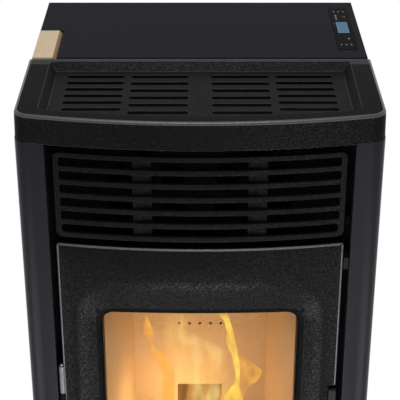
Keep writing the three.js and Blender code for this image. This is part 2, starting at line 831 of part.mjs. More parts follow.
function controlBoard() {
  const card = block([226, 228], [50, 180], [300, 470]);
  const posts = [];
  for (const y of [60, 170]) {
    for (const z of [312, 458]) {
      posts.push(bar('x', 4, [227, casingHalf - sheet - gap], [y, z], 6));
    }
  }
  const parts = [
    block([206, 227], [62, 102], [320, 362]),
    block([212, 227], [112, 128], [318, 350]),
    block([214, 227], [138, 170], [318, 340]),
    block([218, 227], [60, 168], [425, 440]),
    bar('x', 7, [208, 227], [122, 385], 10),
    bar('x', 7, [208, 227], [146, 385], 10),
  ];
  return join(card, ...posts, ...parts);
}

// Socket and switch in one moulding, clipped into the back panel.
function powerInlet() {
  const flange = prism('y', roundedRect([165, 203], [295, 363], 3), [backY + gap, backY + 2.6]);
  const body = block([170, 198], [180, backY + 1], [300, 358]);
  const socket = prism('y', roundedRect([172.5, 195.5], [304, 321], 3), [190, backY + 10]);
  const well = block([174, 194], [193, backY + 10], [330, 354]);
  const pins = [-7, 0, 7].map((x) => (
    block([184 + x - 1, 184 + x + 1], [189, 204], x === 0 ? [313, 317] : [308, 312])
  ));
  return join(cut(join(flange, body), socket, well), ...pins);
}

function powerRocker() {
  const shape = polygon([-5, -8], [3, -11], [5.4, -11], [4.2, 0], [5.4, 11], [3, 11], [-5, 8]);
  return prism('x', shape, [-9.5, 9.5]);
}

// ---------------------------------------------------------------------------------------------
// Hopper lid with its wooden grip and control panel
// ---------------------------------------------------------------------------------------------

const grip = { inside: -212, front: lidFront - 1.5, back: lidFront + 111.5, high: topZ + 1 };
const panel = { low: 206.8, high: 235.8, front: lidFront + 31, length: 188 };
const display = { low: 213.5, high: 230.5, front: lidFront + 103, length: 48 };

function lidSheet() {
  const wall = 2;
  const notchX = grip.inside + 1.5;
  const notchY = grip.back + 1.5;
  const outline = (inset) => polygon(
    [lidHalf - inset, lidFront + inset], [lidHalf - inset, lidBack - inset],
    [inset - lidHalf, lidBack - inset], [inset - lidHalf, notchY + inset],
    [notchX + inset, notchY + inset], [notchX + inset, lidFront + inset],
  );
  const shell = cut(
    prism('z', outline(0), [lidBottom, topZ]),
    prism('z', outline(wall), [lidBottom - 5, topZ - wall]),
  );
  const ledge = block([-lidHalf, notchX + 1], [lidFront, notchY + 1], [970, 972]);
  const straps = [-1, 1].map((side) => lidStrap(side));
  const window = block([panel.low - gap, panel.high + gap],
    [panel.front - gap, panel.front + panel.length + gap], [topZ - 10, topZ + 5]);
  return cut(join(shell, ledge, ...straps), window, ...[-1, 1].map((side) => (
    bar('x', 2.3, mirrored(100, 200, side), [lidAxisY, lidAxisZ], 12)
  )));
}

// The moving half of a lid hinge: a strap on the rear fold with a knuckle at its top.
function lidStrap(side) {
  const strap = block(mirrored(150, 175, side), [lidBack - 1, lidBack + 2], [966, lidAxisZ]);
  const knuckle = bar('x', 4.6, mirrored(150, 175, side), [lidAxisY, lidAxisZ], 16);
  const web = block(mirrored(150, 175, side), [lidBack, lidAxisY], [lidAxisZ - 4, lidAxisZ + 2]);
  return join(strap, knuckle, web);
}

// The fixed half: a leaf on the back panel that carries the pin beside the lid's knuckle.
function lidHinge(side) {
  const shape = polygon([backY + gap, 925], [211.3, 925], [211.3, 948], [217.5, 958],
    [217.5, lidAxisZ], [213.2, lidAxisZ], [213.2, 960], [backY + gap, 951]);
  const leaf = prism('x', shape, mirrored(126, 149.6, side));
  const knuckle = bar('x', 4.6, mirrored(126, 149.6, side), [lidAxisY, lidAxisZ], 16);
  const pin = bar('x', 2, mirrored(128, 177, side), [lidAxisY, lidAxisZ], 12);
  return join(leaf, knuckle, pin);
}

function lidGasket() {
  const [innerHalf, innerFront, innerBack] = [237, -26, hopperFlangeBack + 0.7];
  const outline = polygon([-lidHalf, lidFront], [lidHalf, lidFront], [lidHalf, deckBack],
    [-lidHalf, deckBack]);
  const hole = polygon([-innerHalf, innerFront], [innerHalf, innerFront], [innerHalf, innerBack],
    [-innerHalf, innerBack]);
  return prism('z', withHoles(outline, hole), [deckTop + gap, lidBottom - gap]);
}

function woodGrip() {
  const chamfer = 5;
  const { inside, front, back, high } = grip;
  const shape = polygon([-lidHalf, 972.3], [inside, 972.3], [inside, high - chamfer],
    [inside - chamfer, high], [-lidHalf, high]);
  return prism('y', shape, [front, back]);
}

function controlPanel() {
  const { low, high, front, length } = panel;
  const face = block([low, high], [front, front + length], [986, topZ + 0.4]);
  const body = block([low - 3.5, high + 4], [front - 4, front + length + 4], [982, topZ - 2 - gap]);
  const pocket = block([display.low - gap, display.high + gap],
    [display.front - gap, display.front + display.length + gap], [topZ - 2, topZ + 5]);
  return cut(join(face, body), pocket);
}

function displayWindow() {
  const { low, high, front, length } = display;
  return block([low, high], [front, front + length], [topZ - 2 + gap, topZ + 0.4]);
}

// ---------------------------------------------------------------------------------------------
// Door
// ---------------------------------------------------------------------------------------------

const dish = { half: 177, low: 276, high: 743, radius: 60 };
const windowLip = 9; // width of the rolled edge round the window
const handle = [191.5, 202.2]; // across the lever
const notch = { x: handle[0] - 0.7, low: 395, high: 560 };
const hingeHeights = [[520, 593], [230, 303]];

// Hollow-backed casting: a bowed outer band, a dished slope down to the rolled edge of the window, a
// glass seat and a flat rib for the rope seal, all one ring-shaped skin.
function doorCasting() {
  const front = (depth) => (x) => bowY(x, frontSetback) + depth;
  const flat = (y) => () => y;
  const windowY = (depth) => (x) => -243 + x ** 2 / 4000 + depth;
  const whole = [doorLow, doorHigh];
  const grown = (by) => [windowLow - by, windowHigh + by];
  const slope = (part, rise) => {
    const half = THREE.MathUtils.lerp(dish.half, windowHalf + windowLip, part);
    const low = THREE.MathUtils.lerp(dish.low, windowLow - windowLip, part);
    const high = THREE.MathUtils.lerp(dish.high, windowHigh + windowLip, part);
    const radius = THREE.MathUtils.lerp(dish.radius, 26, part);
    const depth = (x) => THREE.MathUtils.lerp(front(0)(x), windowY(0)(x), rise);
    return frontRing([low, high], half, radius, depth);
  };
  const skin = loft([
    frontRing(whole, frontHalf, 4, flat(doorBack)),
    frontRing(whole, frontHalf, 4, front(2.5)),
    frontRing([doorLow + 0.8, doorHigh - 0.8], frontHalf - 0.8, 3.4, front(0.8)),
    frontRing([doorLow + 2.5, doorHigh - 2.5], frontHalf - 2.5, 3, front(0)),
    slope(0, 0),
    slope(0.12, 0.05),
    slope(0.8, 0.93),
    slope(1, 1),
    frontRing(grown(4.5), windowHalf + 4.5, 21.5, windowY(1.8)),
    frontRing(grown(1.2), windowHalf + 1.2, 18.2, windowY(4.6)),
    frontRing(grown(0), windowHalf, 17, windowY(7.5)),
    frontRing(grown(0), windowHalf, 17, flat(-229.5)),
    frontRing(grown(14), 156, 20, flat(-229.5)),
    frontRing(grown(14), 156, 20, flat(doorBack)),
    frontRing(grown(36), 178, 24, flat(doorBack)),
    frontRing(grown(42), 180, 24, front(9)),
    frontRing([doorLow + 7, doorHigh - 7], frontHalf - 7, 6, front(8)),
    frontRing([doorLow + 7, doorHigh - 7], frontHalf - 7, 6, flat(doorBack)),
  ], false);

  const notchWalls = block([186, frontHalf - 0.1], [-237, doorBack - 0.1],
    [notch.low - 4, notch.high + 4]);
  const lugs = hingeHeights.map(([low, high]) => join(
    bar('z', 4.7, [low + 25.3, high], [hingeX, hingeY], 16),
    block([hingeX, -199], [-240, -229], [low + 25.3, high]),
  ));
  const bores = hingeHeights.flatMap(([low, high]) => [
    bar('z', 2.8, [low + 10, high + 10], [hingeX, hingeY], 12),
    bar('z', 5.2, [low - 0.6, low + 25.3], [hingeX, hingeY], 16),
  ]);
  return cut(
    join(skin, notchWalls, ...lugs),
    block([notch.x, 230], [-280, -200], [notch.low, notch.high]),
    bar('x', 3.3, [180, 195], [handleY, handleZ], 12),
    ...bores,
  );
}

function glassPane() {
  return prism('y', roundedRect([-152, 152], [windowLow - 10, windowHigh + 10], 14),
    [-229.2, -225.2]);
}

// A flat ring between two rounded rectangles, both round the window.
function windowRing([outer, outerRadius], [inner, innerRadius], depths) {
  const ring = (by, radius) => (
    roundedRect([-windowHalf - by, windowHalf + by], [windowLow - by, windowHigh + by], radius)
  );
  return prism('y', withHoles(ring(outer, outerRadius), ring(inner, innerRadius)), depths, 1);
}

function handleLever() {
  const lever = prism('x', roundedRect([-14, -6], [-11, 139], 3), handle);
  const eye = bar('x', 7, handle, [0, 0], 16);
  const web = block(handle, [-8, 0], [-6.5, 6.5]);
  const tail = block([handle[0], handle[0] + 6], [0, 25], [-5.2, 2.5]);
  const bore = bar('x', 3.3, [180, 210], [0, 0], 12);
  return cut(join(lever, eye, web, tail), bore);
}

// Bracket with a fixed pin, over which the lug of the door drops.
function hingeBracket([low, high]) {
  const knuckle = bar('z', 4.7, [low, low + 25], [hingeX, hingeY], 16);
  const arm = block([-209.2, -206], [hingeY, frameFront - gap], [low, low + 25]);
  const pin = bar('z', 2.5, [low + 20, high + 1.5], [hingeX, hingeY], 12);
  return join(knuckle, arm, pin);
}

// Folded stop on the frame, beside the free edge of the door.
function doorStop() {
  const outside = block([203.8, 211.2], [-234, frameFront - gap], [755.5, 774.5]);
  return cut(outside, block([205.3, 209.7], [-232.4, -200], [740, 773]));
}

// ---------------------------------------------------------------------------------------------
// Ash drawer
// ---------------------------------------------------------------------------------------------

const drawer = { low: 76, high: 207, thick: 8 };

function ashDrawerFront() {
  const { low, high, thick } = drawer;
  const band = bowedBand(frontHalf + 1, frontSetback, thick, [low - 1, high + 1]);
  const face = prism('y', roundedRect([-frontHalf, frontHalf], [low, high], 4), [-270, -225]);
  const fingerScoop = prism('y', roundedRect([-60, 60], [high - 16, high + 30], 14), [-280, -225], 3);
  return cut(common(band, face), fingerScoop);
}

// Open tray with two arms that carry the drawer front.
function ashTray() {
  const tray = cut(
    block([-166, 166], [-232, -20], [86.3, 186]),
    block([-164.5, 164.5], [-230.5, -21.5], [87.8, 200]),
  );
  const arms = [-1, 1].map((side) => block(mirrored(80, 96, side), [-256, -231], [100, 160]));
  const { thick } = drawer;
  const clearance = bowedBand(240, frontSetback - 20, thick + 20 + gap, [60, 220]);
  return cut(join(tray, ...arms), clearance);
}

// ---------------------------------------------------------------------------------------------
// Assembly
// ---------------------------------------------------------------------------------------------

add('base_plate', basePlate(), blackPaint);
const footPlaces = {
  foot_front_left: [-200, -190],
  foot_front_right: [200, -190],
  foot_rear_left: [-200, 165],
  foot_rear_right: [200, 165],
};
for (const [name, [x, y]] of Object.entries(footPlaces)) {
  add(name, levellingFoot(), rubber).position.set(x, y, 0);
}
add('side_panel_left', sidePanel(-1), casingPaint);
add('side_panel_right', sidePanel(1), casingPaint);
add('back_panel', backPanel(), blackPaint);
add('front_frame', frontFrame(), blackPaint);
add('top_casting', topCasting(), castIron);
add('front_grille', frontGrille(), castIron);
add('door_stop', doorStop(), casingPaint);

add('combustion_chamber', combustionChamber(), carcassSteel);
add('chamber_stand_left', chamberStand(-1), zincSteel);
add('chamber_stand_right', chamberStand(1), zincSteel);
add('heat_exchanger', heatExchanger(), carcassSteel);
add('firebox_floor', fireboxFloor(), castIron);
add('fire_board_left', sideBoard(-1), vermiculite);
add('fire_board_right', sideBoard(1), vermiculite);
add('fire_board_back', backBoard(), vermiculite);
add('baffle_board', baffleBoard(), vermiculite);
add('burn_pot', burnPot(), castIron);
add('igniter', igniter(), zincSteel);

add('hopper', hopper(), zincSteel);
add('hopper_deck', hopperDeck(), blackPaint);
add('hopper_guard', hopperGuard(), zincSteel);
add('auger_tube', augerTube(), zincSteel);
add('pellet_chute', pelletChute(), zincSteel);
const augerDrive = new THREE.Group();
augerDrive.position.copy(augerFoot);
augerDrive.rotation.x = augerTilt;
stove.add(augerDrive);
add('auger_screw', augerScrew(), carcassSteel, augerDrive);
add('auger_gearmotor', augerGearmotor(), zincSteel, augerDrive);

add('smoke_duct', smokeDuct(), zincSteel);
add('exhaust_housing', exhaustHousing(), zincSteel);
add('exhaust_impeller', exhaustImpeller(), zincSteel).position.set(0, exhaust.y, exhaust.z);
add('exhaust_motor', exhaustMotor(), carcassSteel)
  .position.set(exhaust.x - exhaust.width / 2 - gap, exhaust.y, exhaust.z);
add('flue_spigot', flueSpigot(), blackPaint);
add('air_inlet_pipe', airInletPipe(), zincSteel);
add('blower_housing', blowerHousing(), zincSteel);
add('blower_rotor', blowerRotor(), zincSteel).position.set(0, blower.y, blower.z);
add('blower_motor', blowerMotor(), carcassSteel);

add('control_board', controlBoard(), board);
add('power_inlet', powerInlet(), blackPlastic);
add('power_rocker', powerRocker(), blackPlastic).position.set(184, 204.5, 342);

add('lid', lidSheet(), casingPaint);
add('lid_gasket', lidGasket(), rubber);
add('lid_hinge_left', lidHinge(-1), blackPaint);
add('lid_hinge_right', lidHinge(1), blackPaint);
add('wood_grip', woodGrip(), wood);
add('control_panel', controlPanel(), blackPlastic);
add('display_window', displayWindow(), blueGlass);

add('door_casting', doorCasting(), castIron);
add('door_glass', glassPane(), ceramicGlass);
add('glass_gasket', windowRing([13.5, 21], [4, 8], [-224.9, -221.1]), rope);
add('glass_retainer', windowRing([20, 22], [5, 9], [-220.7, -219.2]), zincSteel);
add('door_rope_seal', windowRing([32.5, 26], [23, 18], [-220.7, frameFront - gap]), rope);
add('hinge_bracket_upper', hingeBracket(hingeHeights[0]), zincSteel);
add('hinge_bracket_lower', hingeBracket(hingeHeights[1]), zincSteel);
add('door_handle', handleLever(), casingPaint).position.set(0, handleY, handleZ);
add('handle_pin', bar('x', 3, [186.3, handle[1] + gap], [handleY, handleZ], 12), zincSteel);

add('ash_tray', ashTray(), zincSteel);
add('ash_drawer_front', ashDrawerFront(), castIron);

export default stove;
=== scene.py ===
import json
import math
import random

import bmesh
import bpy
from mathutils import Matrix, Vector


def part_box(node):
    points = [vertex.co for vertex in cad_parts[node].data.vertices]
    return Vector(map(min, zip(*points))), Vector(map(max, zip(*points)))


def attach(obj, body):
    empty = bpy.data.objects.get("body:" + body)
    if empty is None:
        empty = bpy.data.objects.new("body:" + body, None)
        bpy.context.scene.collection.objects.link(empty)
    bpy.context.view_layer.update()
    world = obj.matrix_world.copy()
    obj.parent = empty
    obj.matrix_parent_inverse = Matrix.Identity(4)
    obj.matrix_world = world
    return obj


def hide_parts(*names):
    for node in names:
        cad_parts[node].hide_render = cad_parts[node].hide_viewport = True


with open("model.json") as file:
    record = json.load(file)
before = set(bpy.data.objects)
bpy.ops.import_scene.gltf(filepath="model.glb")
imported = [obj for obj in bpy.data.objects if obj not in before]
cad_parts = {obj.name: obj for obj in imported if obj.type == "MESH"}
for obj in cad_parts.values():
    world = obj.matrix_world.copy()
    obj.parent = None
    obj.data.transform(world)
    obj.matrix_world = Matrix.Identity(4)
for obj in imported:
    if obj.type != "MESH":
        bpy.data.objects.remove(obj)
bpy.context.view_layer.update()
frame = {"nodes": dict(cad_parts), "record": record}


# ---------------------------------------------------------------------------------------------
# Studio
# ---------------------------------------------------------------------------------------------
# The camera looks down on the stove from the front. One soft lamp hangs overhead and another
# stands low at the right, bright cards lie on the pale floor, and the floor fades to white.

scene = bpy.context.scene
scene.view_settings.view_transform = "Standard"

camera_data = bpy.data.cameras.new("camera")
camera_data.sensor_width = 36
camera_data.lens = 118.3
camera = bpy.data.objects.new("camera", camera_data)
camera.location = (0, -1.8474, 1.7106)
camera.rotation_euler = (math.radians(62.4), 0, 0)
scene.collection.objects.link(camera)
scene.camera = camera


class Value:
    """One output of a material's nodes. Arithmetic on it adds Math nodes."""

    def __init__(self, finish, socket):
        self.finish = finish
        self.socket = socket

    def math(self, operation, *others):
        sockets = dict(enumerate((self, *others)))
        return self.finish.node("ShaderNodeMath", {"operation": operation}, sockets)

    def __add__(self, other):
        return self.math("ADD", other)

    __radd__ = __add__

    def __sub__(self, other):
        return self.math("SUBTRACT", other)

    def __rsub__(self, other):
        return self.math("MULTIPLY", -1).math("ADD", other)

    def __mul__(self, other):
        return self.math("MULTIPLY", other)

    __rmul__ = __mul__

    def __truediv__(self, other):
        return self.math("DIVIDE", other)

    def __pow__(self, other):
        return self.math("POWER", other)

    def clamped(self):
        return self.math("MAXIMUM", 0).math("MINIMUM", 1)

    def above(self, low, high):
        """0 below low, 1 above high, and a smooth rise between them."""
        part = ((self - low) / (high - low)).clamped()
        return part * part * (3 - 2 * part)


class Finish:
    """A surface finish: a node material that starts from the Principled shader."""

    def __init__(self, name, tree=None):
        if tree is None:
            self.material = bpy.data.materials.new(name)
            self.material.use_nodes = True
            tree = self.material.node_tree
        self.tree = tree

    def node(self, kind, settings=None, sockets=None, output=0):
        made = self.tree.nodes.new(kind)
        for name, value in (settings or {}).items():
            setattr(made, name, value)
        for name, value in (sockets or {}).items():
            self.plug(value, made.inputs[name])
        return Value(self, made.outputs[output])

    def plug(self, value, socket):
        if isinstance(value, Value):
            self.tree.links.new(value.socket, socket)
        elif socket.type == "RGBA" and len(value) == 3:
            socket.default_value = (*value, 1)
        else:
            socket.default_value = value

    def place(self):
        return self.node("ShaderNodeTexCoord", output="Object")

    def along(self, axis):
        return self.node("ShaderNodeSeparateXYZ", sockets={"Vector": self.place()}, output=axis)

    def noise(self, scale, detail=2.0, roughness=0.5, stretch=(1, 1, 1)):
        place = self.node("ShaderNodeMapping", {}, {"Vector": self.place(), "Scale": stretch})
        sockets = {"Vector": place, "Scale": scale, "Detail": detail, "Roughness": roughness}
        return self.node("ShaderNodeTexNoise", {}, sockets)

    def cells(self, scale, feature="F1", output="Distance"):
        sockets = {"Vector": self.place(), "Scale": scale}
        return self.node("ShaderNodeTexVoronoi", {"feature": feature}, sockets, output)

    def mix(self, factor, first, second):
        sockets = {0: factor, 6: first, 7: second}
        return self.node("ShaderNodeMix", {"data_type": "RGBA"}, sockets, 2)

    def bump(self, height, strength, distance):
        sockets = {"Height": height, "Strength": strength, "Distance": distance}
        return self.node("ShaderNodeBump", {}, sockets)

    def surface(self, **sockets):
        """Sets the Principled shader's sockets and gives the material."""
        shader = self.tree.nodes["Principled BSDF"]
        for name, value in sockets.items():
            self.plug(value, shader.inputs[name.replace("_", " ")])
        return self.material

    def output(self, shader):
        kind = "ShaderNodeOutputWorld" if self.tree == scene.world.node_tree else "ShaderNodeOutputMaterial"
        end = next(node for node in self.tree.nodes if node.bl_idname == kind)
        self.tree.links.new(shader.socket, end.inputs["Surface"])


if scene.world is None:
    scene.world = bpy.data.worlds.new("world")
scene.world.use_nodes = True
WORLD_LEVEL = 0.3


def seen_directly(finish):
    """1 for the rays that show a backdrop: from the camera, a reflection or through glass."""
    rays = [finish.node("ShaderNodeLightPath", output=name)
            for name in ("Is Camera Ray", "Is Glossy Ray", "Is Transmission Ray")]
    return (rays[0] + rays[1] + rays[2]).clamped()


sky = Finish("sky", scene.world.node_tree)
sky_level = WORLD_LEVEL + (1 - WORLD_LEVEL) * seen_directly(sky)
sky.output(sky.node("ShaderNodeBackground", {}, {"Color": (1, 1, 1), "Strength": sky_level}))


def lamp(name, place, target, size, brightness):
    """A rectangular lamp as bright as the given number of white backdrops."""
    data = bpy.data.lights.new(name, "AREA")
    data.shape = "RECTANGLE"
    data.size, data.size_y = size
    data.energy = brightness * math.pi * size[0] * size[1]
    light = bpy.data.objects.new(name, data)
    light.location = place
    aim = Vector(target) - Vector(place)
    light.rotation_euler = aim.to_track_quat("-Z", "Y").to_euler()
    light.visible_camera = False
    light.visible_transmission = False
    scene.collection.objects.link(light)


lamp("overhead_lamp", (0, -0.75, 3.0), (0, -0.1, 0.9), (1.0, 1.0), 10)
lamp("right_front_box", (0.62, -1.5, 0.32), (0.1, -0.25, 0.6), (0.75, 0.6), 2.8)
lamp("front_card", (0, -0.56, 0.01), (0, -0.56, 1), (0.5, 0.42), 2.8)
for side, name in ((-1, "left_card"), (1, "right_card")):
    lamp(name, (side * 0.92, -0.9, 0.01), (side * 0.92, -0.9, 1), (0.8, 0.8), 6.5)
lamp("middle_card", (0, -0.94, 0.01), (0, -0.94, 1), (0.46, 0.52), 19)

bpy.ops.object.select_all(action="DESELECT")
bpy.ops.mesh.primitive_circle_add(vertices=96, radius=9, fill_type="NGON")
floor = bpy.context.object
floor.name = "floor"

FADE_START, FADE_END = 0.3, 0.56
pale = Finish("pale_floor")
floor_x, floor_y = pale.along("X"), pale.along("Y")
away = ((floor_x * floor_x + floor_y * floor_y) ** 0.5).above(FADE_START, FADE_END)
paint = pale.node("ShaderNodeBsdfDiffuse", {}, {"Color": (0.86, 0.86, 0.86)})
white = pale.node("ShaderNodeEmission", {}, {"Color": (1, 1, 1), "Strength": 1.0})
pale.output(pale.node("ShaderNodeMixShader", {}, {0: away * seen_directly(pale), 1: paint, 2: white}))
floor.data.materials.append(pale.material)


# ---------------------------------------------------------------------------------------------
# Base plate, levelling feet and front frame
# ---------------------------------------------------------------------------------------------
# Folded and welded steel, sprayed matt black. The frame closes the carcass behind the castings,
# and it shows as the black gaps round the grille and the door, where its near-black paint is painted shade.

body_of = {node: body for body, nodes in frame["record"]["behaviour"]["bodies"].items() for node in nodes}
slot_of = {part["node"]: part["material_slot"] for part in frame["record"]["subparts"]}


def dress(material, *nodes):
    """Gives CAD nodes a finish."""
    for node in nodes:
        mesh = frame["nodes"][node].data
        mesh.materials.clear()
        mesh.materials.append(material)


def choose(piece):
    bpy.ops.object.select_all(action="DESELECT")
    piece.select_set(True)
    bpy.context.view_layer.objects.active = piece


def modify(piece, kind, **settings):
    """Adds a modifier, sets it and applies it."""
    choose(piece)
    modifier = piece.modifiers.new(kind.lower(), kind)
    for name, value in settings.items():
        setattr(modifier, name, value)
    bpy.ops.object.modifier_apply(modifier=modifier.name)


def round_edges(piece, width, segments=2, angle=30, slot=-1):
    """Rounds every edge sharper than the angle, gives the rounds a material slot, and smooths
    them while the flat faces stay flat."""
    while len(piece.data.materials) <= slot:
        piece.data.materials.append(None)
    modify(piece, "BEVEL", width=width, segments=segments, limit_method="ANGLE", material=slot,
           angle_limit=math.radians(angle), use_clamp_overlap=True, miter_outer="MITER_ARC")
    choose(piece)
    bpy.ops.object.shade_smooth_by_angle(angle=math.radians(38))
    modify(piece, "WEIGHTED_NORMAL", keep_sharp=True)


def stand_for(piece, name, materials, *nodes):
    """Names a finished piece, gives it its finishes, and puts it in the place of CAD nodes."""
    piece.name = name
    piece.data.name = name
    slots = [face.material_index for face in piece.data.polygons]
    piece.data.materials.clear()
    for material in materials:
        piece.data.materials.append(material)
    piece.data.polygons.foreach_set("material_index", slots)
    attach(piece, body_of[nodes[0]])
    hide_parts(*nodes)
    return piece


def add_to(body, piece, name, material):
    """Names a new piece, gives it its finish, and lets it move with a body."""
    piece.name = name
    piece.data.materials.clear()
    piece.data.materials.append(material)
    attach(piece, body)


def refined(node, materials, width, segments=2):
    """A merged copy of a CAD node with rounded edges, in the node's place. A second material is
    for the rounds."""
    piece = bpy.data.objects.new(node + "_finished", frame["nodes"][node].data.copy())
    scene.collection.objects.link(piece)
    choose(piece)
    bpy.ops.object.mode_set(mode="EDIT")
    bpy.ops.mesh.select_all(action="SELECT")
    bpy.ops.mesh.remove_doubles(threshold=0.00001)
    bpy.ops.mesh.dissolve_limited(angle_limit=math.radians(0.2))
    bpy.ops.object.mode_set(mode="OBJECT")
    round_edges(piece, width, segments, slot=len(materials) - 1)
    return stand_for(piece, node + "_finished", materials, node)


def black_paint(name, shade, specular):
    finish = Finish(name)
    peel = finish.noise(900, 2, 0.6)
    dust = finish.noise(14, 4, 0.6)
    colour = finish.mix(dust, (shade, shade, 1.05 * shade), (1.6 * shade, 1.6 * shade, 1.7 * shade))
    return finish.surface(
        Base_Color=colour, Roughness=0.5 + 0.15 * dust, Specular_IOR_Level=specular,
        Normal=finish.bump(peel, 0.2, 0.0003),
    )


matt_black = black_paint("matt_black_paint", 0.005, 0.12)
# Near-black paint: painted shade for the gaps round the grille and the door, and behind the grille.
gap_shade_black = black_paint("near_black_paint_painted_gap_shade", 0.0009, 0.012)
dress(gap_shade_black, "front_frame")
dress(matt_black, "hopper_deck", "flue_spigot", "lid_hinge_left", "lid_hinge_right")
for node in ("base_plate", "back_panel"):
    refined(node, [matt_black], 0.0004)


def rubber_finish():
    finish = Finish("foot_rubber")
    grain = finish.noise(600, 3, 0.6)
    return finish.surface(
        Base_Color=(0.012, 0.012, 0.012), Roughness=0.75 + 0.15 * grain, Specular_IOR_Level=0.2,
        Normal=finish.bump(grain, 0.3, 0.0003),
    )


foot_rubber = rubber_finish()
for corner in ("front_left", "front_right", "rear_left", "rear_right"):
    refined("foot_" + corner, [foot_rubber], 0.0008)
dress(foot_rubber, "lid_gasket")


# ---------------------------------------------------------------------------------------------
# Side panels and door stop
# ---------------------------------------------------------------------------------------------
# Sheet steel folded round a large radius at the front, powder-coated in a satin violet grey.
# The stop is a small bracket in the gap beside the door, painted like the panels.

def casing_paint(name, dark, light, specular):
    finish = Finish(name)
    peel = finish.noise(620, 2, 0.5)
    haze = finish.noise(5, 3, 0.5)
    colour = finish.mix(haze, dark, light)
    return finish.surface(
        Base_Color=colour, Roughness=0.28 + 0.06 * haze, Specular_IOR_Level=specular,
        Normal=finish.bump(peel, 0.1, 0.0002),
    )


satin_grey = casing_paint("satin_powder_coat", (0.0098, 0.009, 0.0122), (0.0115, 0.0107, 0.014), 0.045)
for node in ("side_panel_left", "side_panel_right", "door_stop"):
    refined(node, [satin_grey], 0.0005)


# ---------------------------------------------------------------------------------------------
# Carcass: chamber, stands and heat exchanger
# ---------------------------------------------------------------------------------------------
# Welded plate, darkened by heat. The exchanger's tube mouths show behind the grille. What nobody
# touches is bare zinc-coated sheet, apart from the chute, which the fire has tinted and which has a painted
# glow of firelight.

def heated_steel():
    finish = Finish("heated_steel")
    scale = finish.noise(30, 5, 0.65)
    grain = finish.noise(500, 3, 0.6)
    colour = finish.mix(scale, (0.035, 0.034, 0.036), (0.09, 0.085, 0.082))
    return finish.surface(
        Base_Color=colour, Roughness=0.45 + 0.25 * scale, Metallic=0.6,
        Normal=finish.bump(grain, 0.25, 0.0003),
    )


dark_steel = heated_steel()
dress(dark_steel, "combustion_chamber", "auger_screw", "exhaust_motor", "blower_motor")
# The exchanger's near-black paint is painted shade seen through the grille's slots.
dress(gap_shade_black, "heat_exchanger")


def zinc_finish():
    finish = Finish("zinc_sheet")
    flower = finish.cells(70, output="Color")
    tone = finish.node("ShaderNodeSeparateColor", {}, {"Color": flower})
    smear = finish.noise(40, 3, 0.6)
    colour = finish.mix(tone, (0.36, 0.37, 0.39), (0.5, 0.51, 0.53))
    return finish.surface(
        Base_Color=colour, Roughness=0.3 + 0.12 * tone + 0.1 * smear, Metallic=0.9,
        Normal=finish.bump(smear, 0.15, 0.0003),
    )


zinc = zinc_finish()
dress(zinc, *[node for node, slot in slot_of.items() if slot == "zinc_steel"])
for node in ("ash_tray", "handle_pin"):
    refined(node, [zinc], 0.0004)


def chute_finish():
    """Sheet that the fire has tinted, with the dark arcs that heat leaves on it, and a painted glow of
    firelight in its own colour.
    """
    finish = Finish("heat_tinted_sheet_painted_glow")
    centre_x, centre_z = 0.05, 0.34
    phase_per_metre = 230
    x, z = finish.along("X") - centre_x, finish.along("Z") - centre_z
    swirl = finish.noise(16, 2, 0.5)
    arcs = ((x * x + z * z) ** 0.5 * phase_per_metre + 5 * swirl).math("SINE").above(0.1, 0.9)
    colour = finish.mix(0.85 * arcs, (0.34, 0.13, 0.012), (0.09, 0.03, 0.01))
    return finish.surface(
        Base_Color=colour, Roughness=0.4 + 0.1 * swirl, Specular_IOR_Level=0.2,
        # Painted glow: the tint colour is also given off as light, standing in for firelight on the sheet.
        Emission_Color=colour, Emission_Strength=0.18,
    )


dress(chute_finish(), "pellet_chute")


LOWER_LUG = (0.2553, 0.303)
UPPER_LUG = (0.5453, 0.593)
LOWER_PIN_TOP = 0.31


def hinge_finish():
    """Black paint, worn off the pins where they stand above the door's lugs."""
    finish = Finish("black_hinge_with_bare_pin")
    height = finish.along("Z")
    upper, lower = [height.above(top + 0.0001, top + 0.0003) for top in (UPPER_LUG[1], LOWER_LUG[1])]
    bare = upper + lower * (1 - height.above(LOWER_PIN_TOP, LOWER_PIN_TOP + 0.01))
    scuff = finish.noise(500, 3, 0.6)
    colour = finish.mix(bare, (0.002, 0.002, 0.0022), (0.55, 0.55, 0.56))
    return finish.surface(
        Base_Color=colour, Roughness=0.45 + 0.2 * scuff, Metallic=0.9 * bare, Specular_IOR_Level=0.02,
    )


hinge_black = hinge_finish()
for node in ("hinge_bracket_upper", "hinge_bracket_lower"):
    refined(node, [hinge_black], 0.0004)


# ---------------------------------------------------------------------------------------------
# Firebox
# ---------------------------------------------------------------------------------------------
# Pressed vermiculite boards stand on a cast floor, round a cast burn pot. The boards are warm
# beige with fine dark specks, darker towards the top, with painted shade on their front edges.

BOARD_EDGE = -0.2042
DARKER_TOP_LOW, DARKER_TOP_HIGH = 0.6, 0.72


